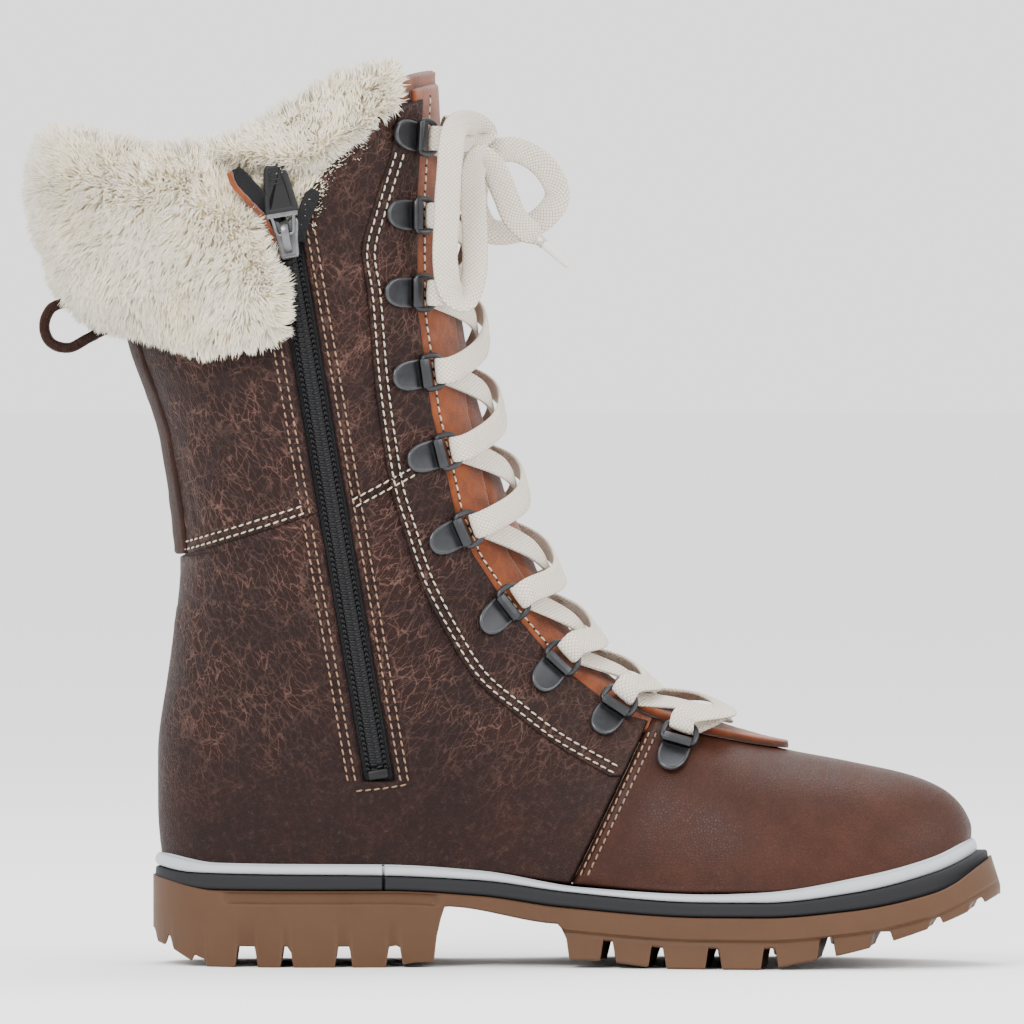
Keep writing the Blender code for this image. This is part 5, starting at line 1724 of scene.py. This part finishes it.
def addPlate(side, number, seat, label):
    pivot, tangent, away, normal = seat
    half = plateShape["outline"]
    loop = half + [(-w, s) for w, s in half[-2::-1]]
    loop = evenly(np.array(loop + loop[:1]), 0.55)[:-1]
    tongue = slab(loop, plateShape["profile"], (tangent, away, normal), pivot, plateShape["worn"])
    turns = np.radians(np.linspace(272, 22, 30))
    outerArc = np.stack([np.cos(turns), np.sin(turns)], 1) * plateShape["barrelOuter"]
    outerArc[:, 1] = np.minimum(outerArc[:, 1], plateShape["flat"])
    innerArc = np.stack([np.cos(turns), np.sin(turns)], 1)[::-1] * plateShape["barrelInner"]
    section = np.concatenate([outerArc, innerArc])
    stops = np.array([-1.0, -0.985, -0.95, -0.5, 0.0, 0.5, 0.95, 0.985, 1.0]) * plateShape["barrelHalf"]
    shrink = np.array([0.90, 0.97, 1.0, 1.0, 1.0, 1.0, 1.0, 0.97, 0.90])
    loops = []
    for stop, size in zip(stops, shrink):
        sized = section.copy()
        sized[:len(turns)] *= size
        loops.append(pivot + tangent * stop + sized[:, :1] * away + sized[:, 1:] * normal)
    count = len(section)
    index = np.arange(len(stops) * count).reshape(len(stops), count)
    a, b = index[:-1], np.roll(index[:-1], -1, 1)
    c, d = np.roll(index[1:], -1, 1), index[1:]
    faces = np.stack([a, b, c, d], -1).reshape(-1, 4).tolist()
    arc = len(turns)
    for row, flip in ((index[0], False), (index[-1], True)):
        for k in range(arc - 1):
            face = [row[k], row[k + 1], row[count - 2 - k], row[count - 1 - k]]
            faces.append([int(v) for v in (face[::-1] if not flip else face)])
    worn = np.repeat(np.array([1.0, 0.9, 0.3, 0.15, 0.1, 0.15, 0.3, 0.9, 1.0]), count)
    points, faces = joined([tongue[:2], (np.concatenate(loops), faces)])
    # the tongue's edge values paint rubbed wear and, at its bevelled rim, a painted highlight
    piece = addMesh("strap" + label, points, faces, finish["gunmetal"],
                    values={"edge": np.concatenate([tongue[2], worn])})
    piece.data.set_sharp_from_angle(angle=0.8)
    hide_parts("plate_%s_%02d" % ("medial" if side == inner else "lateral", number + 1))


def addRing(side, number, seat, label):
    pivot, tangent, away, normal = seat
    lean = ringing["lean"]
    reach = -away * math.cos(lean) + normal * math.sin(lean)
    half, bow = plateShape["ringHalf"], ringing["bow"]
    loop = [(-half + 1.2, 0.0), (-2.0, 0.0), (2.0, 0.0), (half - 1.2, 0.0), (half - 0.25, 0.45),
            (half, 1.6), (half, 2.9)]
    for k in range(1, 9):
        angle = math.pi * k / 9
        loop.append((half * math.cos(angle), 2.9 + (bow - 2.9) * math.sin(angle)))
    loop += [(-half, 2.9), (-half, 1.6), (-half + 0.25, 0.45)]
    loop = evenly(smoothPath(np.array(loop + loop[:1], float), 120), 0.6)[:-1]
    path = pivot + loop[:, :1] * tangent + loop[:, 1:] * reach
    wire = plateShape["wire"]
    points, faces = tube(path, np.cross(tangent, reach), roundSection(wire, wire, 14), True)
    body = "lace_ring_%s_%02d" % ("medial" if side == inner else "lateral", number + 1)
    piece = addMesh("wire" + label, points, faces, finish["gunmetal"], body,
                    values={"edge": np.clip(0.3 + 0.4 * ripple(points, 4.0, 33), 0, 1)})
    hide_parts(body.replace("lace_ring", "ring"))


for sideName, side in (("Inner", inner), ("Outer", outer)):
    for number, seat in enumerate(seats[side]):
        label = sideName + str(number + 1)
        addPlate(side, number, seat, label)
        addRing(side, number, seat, label)
report("rings hung")


# shearling: collar, turned-down lobe and inside
wool = {
    # the turned-down lobe's lower edge as (x, height), and its front edge as (height, x)
    "lobeLow": [
        (-90.0, 219.0), (-60.0, 217.5), (-52.0, 216.0), (-41.0, 212.0), (-30.0, 207.5), (-20.0, 206.5),
        (-11.0, 209.5),
        (-4.5, 212.0), (2.0, 218.0), (20.0, 230.0),
    ],
    "lobeFore": [
        (190.0, -5.0), (212.0, -3.5), (222.0, -3.5), (232.0, -5.5), (240.0, -8.5), (248.0, -12.5), (255.0,
                                                                                                    -17.0),
        (262.0, -22.0), (272.0, -27.0), (310.0, -29.0),
    ],
    # the upright collar's lower edge as (x, height)
    "collarLow": [
        (-90.0, 272.0), (-14.0, 271.0), (-4.0, 269.5), (6.0, 271.5), (16.5, 278.5), (24.0, 283.0), (30.0,
                                                                                                    287.5),
        (33.0, 294.0), (35.5, 304.0), (37.5, 314.0), (60.0, 344.0),
    ],
    # how far the crest is raised, as (x, rise)
    "crestRise": [
        (-90.0, 3.5), (-75.0, 4.5), (-62.0, 4.5), (-52.0, 0.5), (-43.0, -5.5), (-32.0, -8.0), (-20.0, -8.0),
        (-8.0, -5.0), (1.0, -2.0), (10.0, 1.0), (18.0, 2.7), (31.0, 3.8), (60.0, 4.0),
    ],
    "strands": 19500, "rows": 66, "insideRows": 28, "columns": 200, "low": 0.83, "lockSize": 4.2,
}
furTurns = angleWhere(1.0, shifted(throatX, -12.0)) + 0.02


def peltGrid():
    # the woolly skin's face: rows run up the outside, over the crest and down the inside
    rows, inside, columns = wool["rows"], wool["insideRows"], wool["columns"]
    turns = np.linspace(-furTurns, furTurns, columns)
    ends = [upper(np.full(columns, h), turns, 0.0)[0] for h in (1.0, 1.034)]
    rise = smoothLine(wool["crestRise"])(ends[1][:, 0])
    crest = (1.034 + 0.034 * rise / (ends[1] - ends[0])[:, 2])[None, :]
    share = np.linspace(0.0, 1.0, rows)[:, None]
    outerH = wool["low"] + (crest - wool["low"]) * share
    base, _ = upper(outerH, np.broadcast_to(turns, outerH.shape), 0.0)
    x, z = base[..., 0], base[..., 2]
    lobe = np.minimum(z - smoothLine(wool["lobeLow"])(x), (smoothLine(wool["lobeFore"])(z) - x) * 1.0)
    collar = z - smoothLine(wool["collarLow"])(x)
    gapLow = zipX(z) - panels["slot"] - panels["flareRear"](z)
    gapHigh = zipX(z) + panels["slot"] + panels["flareFore"](z)
    behindZip = np.minimum(np.minimum(x - gapLow, gapHigh - x) + 5.0, z - 248.0) * (turns > 0)[None, :]
    shown = np.maximum(lobe, collar)
    within = np.maximum(shown, behindZip)
    keep = np.ones((rows + inside - 1, columns - 1), bool)
    middle = (within[1:, 1:] + within[:-1, :-1] + within[1:, :-1] + within[:-1, 1:]) / 4
    keep[:rows - 1] = middle > 0
    lobeShare = smooth(lobe, -2.0, 9.0)
    back = 1 - smooth(np.abs(turns), 0.1, 1.25)[None, :]
    full = blendOf(3.6, 13.0 + 11.0 * back, lobeShare)
    gap = np.clip(shown / (full * 0.85), 0, 1)
    rise = 0.6 + (full - 0.6) * np.sqrt(1 - (1 - gap) ** 2)
    rise = blendOf(rise, -3.4, smooth(-shown, -0.5, 1.5))
    height = smooth(z, 205.0, 262.0)
    rise = rise * blendOf(1.0, 0.62 + 0.38 * height, lobeShare)
    rise = rise - 120.0 * np.maximum(outerH - crest + 0.036, 0) * blendOf(0.4, 1.0, lobeShare)
    insideShare = np.linspace(0.0, 1.0, inside + 1)[1:, None]
    innerH = crest - (crest - 0.78) * insideShare
    sunk = blendOf(rise[-1:] - 4.0, -9.0, smooth(insideShare, 0.0, 0.3))
    h = np.concatenate([outerH, innerH])
    offset = np.concatenate([rise, sunk])
    points, normals = upper(h, np.broadcast_to(turns, h.shape), offset)
    lump = 1.1 * ripple(points, 12.0, 41) + 0.7 * ripple(points, 5.5, 42)
    depth = np.concatenate([np.clip(within, 0, 6) / 6, np.ones(innerH.shape)])
    return turns, points + normals * (lump * depth)[..., None], keep


def gridNormals(points):
    along = np.gradient(points, axis=0)
    across = np.gradient(points, axis=1)
    return unit(np.cross(across, along))


def outwardField(grid, keep):
    # for each point, the way to the nearest cut edge of the pelt, and how far off it is
    rows, columns = grid.shape[:2]
    faces = frontFaces(rows, columns, keep)
    edges = np.sort(np.concatenate([faces[:, [k, (k + 1) % 4]] for k in range(4)]), 1)
    pairs, counts = np.unique(edges, axis=0, return_counts=True)
    flatGrid = grid.reshape(-1, 3)
    rim = np.unique(pairs[counts == 1])
    tree = kdtree.KDTree(len(rim))
    for k, index in enumerate(rim):
        tree.insert(flatGrid[index], k)
    tree.balance()
    found = [tree.find(p) for p in flatGrid]
    near = np.array([f[0] for f in found])
    far = np.array([f[2] for f in found])
    return unit(near - flatGrid + 1e-6).reshape(grid.shape), far.reshape(rows, columns)


def addPelt(grid, keep):
    normal = gridNormals(grid)
    points, faces, _ = shell(grid, grid - normal * 1.4, keep)
    along = np.full(len(points), 0.3)
    lock = np.clip(0.5 + ripple(points, 6.0, 43), 0, 1)
    piece = addMesh("peltCollar", points, faces, finish["fur"],
                    values={"along": along, "lock": lock})
    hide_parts("cuff")
    return normal


def sampled(field, row, column):
    i = np.minimum(row.astype(int), field.shape[0] - 2)
    j = np.minimum(column.astype(int), field.shape[1] - 2)
    u, v = row - i, column - j
    if field.ndim > 2:
        u, v = u[:, None], v[:, None]
    low = field[i, j] * (1 - u) + field[i + 1, j] * u
    high = field[i, j + 1] * (1 - u) + field[i + 1, j + 1] * u
    return low * (1 - v) + high * v


def grow(name, pelt, rows, columns, comb, length, count, seed):
    # strands on a part of the pelt: comb gives their lean and length their size, from the roots
    rng = np.random.default_rng(seed)
    grid, normal, outward, distance, keep = pelt
    part = grid[rows[0]:rows[1] + 1, columns[0]:columns[1] + 1]
    size = np.linalg.norm(np.cross(part[1:, :-1] - part[:-1, :-1], part[:-1, 1:] - part[:-1, :-1]), axis=-1)
    size = size * keep[rows[0]:rows[1], columns[0]:columns[1]]
    cell = rng.choice(size.size, count, p=(size / size.sum()).ravel())
    row = rows[0] + cell // size.shape[1] + rng.random(count)
    column = columns[0] + cell % size.shape[1] + rng.random(count)
    root = sampled(grid, row, column)
    up = unit(sampled(normal, row, column))
    away = unit(sampled(outward, row, column))
    margin = sampled(distance, row, column)
    lockSize = wool["lockSize"]
    bent = root / lockSize + 0.45 * np.stack([ripple(root, 4.0, seed + k) for k in range(3)], -1)
    cells = np.floor(bent).astype(np.int64)
    lockShade = hashed(cells, seed + 11)
    lean = np.stack([hashed(cells, seed + 12 + k) - 0.5 for k in range(3)], -1)
    wave = np.stack([ripple(root, 13.0, seed + 21 + k) for k in range(3)], -1)
    outwardPush = away * (1 - smooth(margin, 0.0, 7.0))[:, None] * 0.8
    direction = unit(up + comb(root) + outwardPush + lean * 0.42 + wave * 0.55 + (rng.random((count,
                                                                                              3)) - 0.5) * 0.5)
    standing = (direction * up).sum(1, keepdims=True)
    direction = unit(direction + up * np.maximum(0.25 - standing, 0))
    long = length * (0.74 + 0.34 * rng.random(count)) * (0.86 + 0.26 * lockShade)
    long = long * (0.7 + 0.3 * smooth(margin, 0.0, 5.0))
    tip = root + direction * long[:, None]
    centre = (cells + 0.5 - (bent - root / lockSize)) * lockSize
    pull = centre - root
    pull = pull - up * (pull * up).sum(1, keepdims=True)
    tip = tip + np.clip(pull, -2.0, 2.0) * 0.42
    bend = unit(np.cross(direction, rng.random((count, 3)) - 0.5))
    middle = blendOf(root, tip, 0.5) + bend * (0.09 * long)[:, None] + up * (0.10 * long)[:, None]
    side = unit(np.cross(direction, up + 0.013))
    other = np.cross(direction, side)
    around = rng.random(count) * 2 * math.pi
    loops = []
    for centreLine, wide in ((root - up * 0.6, 0.27), (middle, 0.23)):
        for k in range(3):
            angle = (around + 2 * math.pi * k / 3)[:, None]
            loops.append(centreLine + (side * np.cos(angle) + other * np.sin(angle)) * wide)
    points = np.stack(loops + [tip], 1).reshape(-1, 3)
    pattern = []
    for k in range(3):
        n = (k + 1) % 3
        pattern += [[k, n, 3 + n], [k, 3 + n, 3 + k], [3 + k, 3 + n, 6]]
    pattern.append([2, 1, 0])
    start = (np.arange(count) * 7)[:, None, None]
    faces = (start + np.array(pattern)[None]).reshape(-1, 3)
    along = np.tile([0.0, 0.0, 0.0, 0.55, 0.55, 0.55, 1.0], count)
    lock = np.repeat(lockShade * 0.7 + 0.3 * rng.random(count), 7)
    soft = np.repeat(unit(up + direction * 0.35 + lean * 0.5), 7, axis=0)
    return addStrands(name, points, faces, {"along": along, "lock": lock}, soft)


def addStrands(name, points, faces, values, normals):
    mesh = bpy.data.meshes.new(name)
    mesh.vertices.add(len(points))
    mesh.vertices.foreach_set("co", (points * mm).astype(np.float32).ravel())
    mesh.loops.add(faces.size)
    mesh.loops.foreach_set("vertex_index", faces.astype(np.int32).ravel())
    mesh.polygons.add(len(faces))
    mesh.polygons.foreach_set("loop_start", (np.arange(len(faces)) * 3).astype(np.int32))
    mesh.update(calc_edges=True)
    mesh.shade_smooth()
    mesh.normals_split_custom_set_from_vertices(normals.tolist())
    for key, numbers in values.items():
        mesh.attributes.new(key, "FLOAT", "POINT").data.foreach_set("value", numbers.astype(np.float32))
    mesh.materials.append(finish["fur"])
    piece = bpy.data.objects.new(name, mesh)
    bpy.context.scene.collection.objects.link(piece)
    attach(piece, "boot")
    return piece


def combed(root):
    # down and back on the turned-down lobe, upward on the collar and near the crest
    behind = smooth(smoothLine(wool["lobeFore"])(root[:, 2]) - root[:, 0], -4.0, 10.0)
    share = behind * (1 - smooth(root[:, 2], 245.0, 278.0))
    return blendOf(np.array([[0.0, 0.0, 0.45]]), np.array([[-0.25, 0.0, -0.75]]), share[:, None])


def addWool():
    turns, grid, keep = peltGrid()
    normal = addPelt(grid, keep)
    outward, distance = outwardField(grid, keep)
    pelt = (grid, normal, outward, distance, keep)
    last = len(turns) - 1
    rows, count = wool["rows"], wool["strands"]
    split = [int(np.argmin(np.abs(turns - at))) for at in (-1.15, 0.0, 1.15)]
    grow("woolLobeInner", pelt, (0, rows), (split[1], split[2]), combed, 7.2, count, 101)
    grow("woolLobeOuter", pelt, (0, rows), (split[0], split[1]), combed, 7.2, count, 202)
    grow("woolCollarInner", pelt, (0, rows), (split[2], last), combed, 6.8, count * 2 // 3, 303)
    grow("woolCollarOuter", pelt, (0, rows), (0, split[0]), combed, 6.8, count * 2 // 3, 404)
    grow("woolInside", pelt, (rows, grid.shape[0] - 1), (0, last), combed, 6.8, count, 505)


addWool()
report("wool grown")


# pull loop
loopShape = {
    "root": 214.0, "halfWidth": 6.0, "thickness": 3.5,
    "path": [
        (-1.0, 3.6), (-8.0, 3.4), (-14.5, 5.6), (-20.5, 8.2), (-26.5, 6.4), (-29.0, 0.6), (-27.0, -5.0),
        (-21.0, -7.0), (-14.0, -3.6), (-8.0, -0.8), (-1.0, -0.6),
    ],
}


def addLoop():
    line = splinePath(np.array(loopShape["path"]), 0.6)
    path = np.stack([curve["back"](loopShape["root"]) + line[:, 0], np.zeros(len(line)),
                     loopShape["root"] + line[:, 1]], 1)
    turn = np.arange(28) * 2 * math.pi / 28
    wide = loopShape["halfWidth"] * np.sign(np.cos(turn)) * np.abs(np.cos(turn)) ** 0.45
    thick = loopShape["thickness"] / 2 * np.sign(np.sin(turn)) * np.abs(np.sin(turn)) ** 0.5
    points, faces = tube(path, (0.0, 1.0, 0.0), np.stack([wide, thick], 1))
    raw = np.tile(np.clip(np.abs(np.cos(turn)) * 2.2 - 1.2, 0, 1), len(path))
    rough = ripple(points, 1.6, 51) * (0.12 + 0.30 * raw)
    centre = np.repeat(path, 28, axis=0)
    points = points + unit(points - centre) * rough[:, None]
    piece = addMesh("pullStrap", points, faces, finish["strap"],
                    values={"edge": raw * 0.6})
    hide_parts("pull_loop")


addLoop()


# inside the boot: lining, footbed, board and counter
def addLining():
    h = np.linspace(0.012, 0.99, 150)
    reach = angleWhere(np.maximum(h, ringVamp), shifted(throatX, -12.0))
    reach = np.where(h < ringVamp + 0.02, math.pi - 0.004, reach)
    share = np.linspace(-1.0, 1.0, 170)
    angles = reach[:, None] * share[None, :]
    under, normal = upper(np.broadcast_to(h[:, None], angles.shape), angles, -4.1)
    face, _ = upper(np.broadcast_to(h[:, None], angles.shape), angles, -8.6)
    pile = 0.8 * ripple(face, 6.0, 61) + 0.5 * ripple(face, 2.4, 62)
    points, faces, _ = shell(under, face - normal * pile[..., None])
    lock = np.clip(0.5 + ripple(points, 5.0, 63), 0, 1)
    piece = addMesh("fleeceLining", points, faces, finish["fur"],
                    values={"along": np.full(len(points), 0.45), "lock": lock})
    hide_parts("lining")


def insoleLoop(h, offset=-10.6, count=220):
    turns = np.linspace(0, 2 * math.pi, count, endpoint=False)
    points, _ = upper(np.full(count, h), turns, offset)
    return points


def addInsole(name, levels, paint, node, lump, attributes):
    # a filled sheet inside the upper, cupped a little at its rim: levels are the rings of its underside
    # and top
    rings = 26
    low, high = insoleLoop(levels[0]), insoleLoop(levels[1])
    shares = np.linspace(1.0, 0.0, rings) ** 0.8
    loops = []
    for loop, sign in ((high, 1), (low, -1)):
        centre = np.stack([np.clip(loop[:, 0], -20, 195), np.full(len(loop), 0.0), loop[:, 2]], 1)
        centre[:, 1] = middleY(centre[:, 0])
        layer = []
        for share in shares[:-1]:
            at = centre + (loop - centre) * share
            if sign > 0:
                at = at + np.array([0, 0, 1.0])[None] * ((share ** 6) * 0.6 + lump * ripple(at, 6.0, 71))[:,
                                                                                                          None]
            layer.append(at)
        loops.append(layer)
    stack = loops[1][::-1] + loops[0]
    count = len(high)
    index = np.arange(len(stack) * count).reshape(len(stack), count)
    a, b = index[:-1], np.roll(index[:-1], -1, 1)
    c, d = np.roll(index[1:], -1, 1), index[1:]
    faces = np.stack([a, b, c, d], -1).reshape(-1, 4).tolist()
    for row, flip in ((index[0], True), (index[-1], False)):
        for k in range(count // 2):
            face = [int(row[k]), int(row[k + 1]), int(row[(count - k - 1) % count]),
                    int(row[(count - k) % count])]
            face = list(dict.fromkeys(face))
            if len(face) > 2:
                faces.append(face[::-1] if flip else face)
    points = np.concatenate(stack)
    values = {key: np.full(len(points), value) for key, value in attributes.items()}
    piece = addMesh(name, points, faces, finish[paint], values=values)
    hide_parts(node)


def addCounter():
    h = np.linspace(0.03, 0.46, 70)
    side = np.linspace(-1.15, 1.15, 90)
    angles = np.broadcast_to(side, (70, 90))
    panel("counterShell", h[:, None], angles, -3.5, 1.0, finish["board"], "heel_counter",
          None,
          lambda p, d: 0.05 * ripple(p, 4.0, 72))


addLining()
addInsole("fleeceFootbed", (0.034, 0.058), "fur", "footbed", 0.5, {"along": 0.45, "lock": 0.5})
addInsole("insoleBoard", (0.001, 0.018), "board", "insole_board", 0.05, {"edge": 0.2})
addCounter()
report("inside fitted")
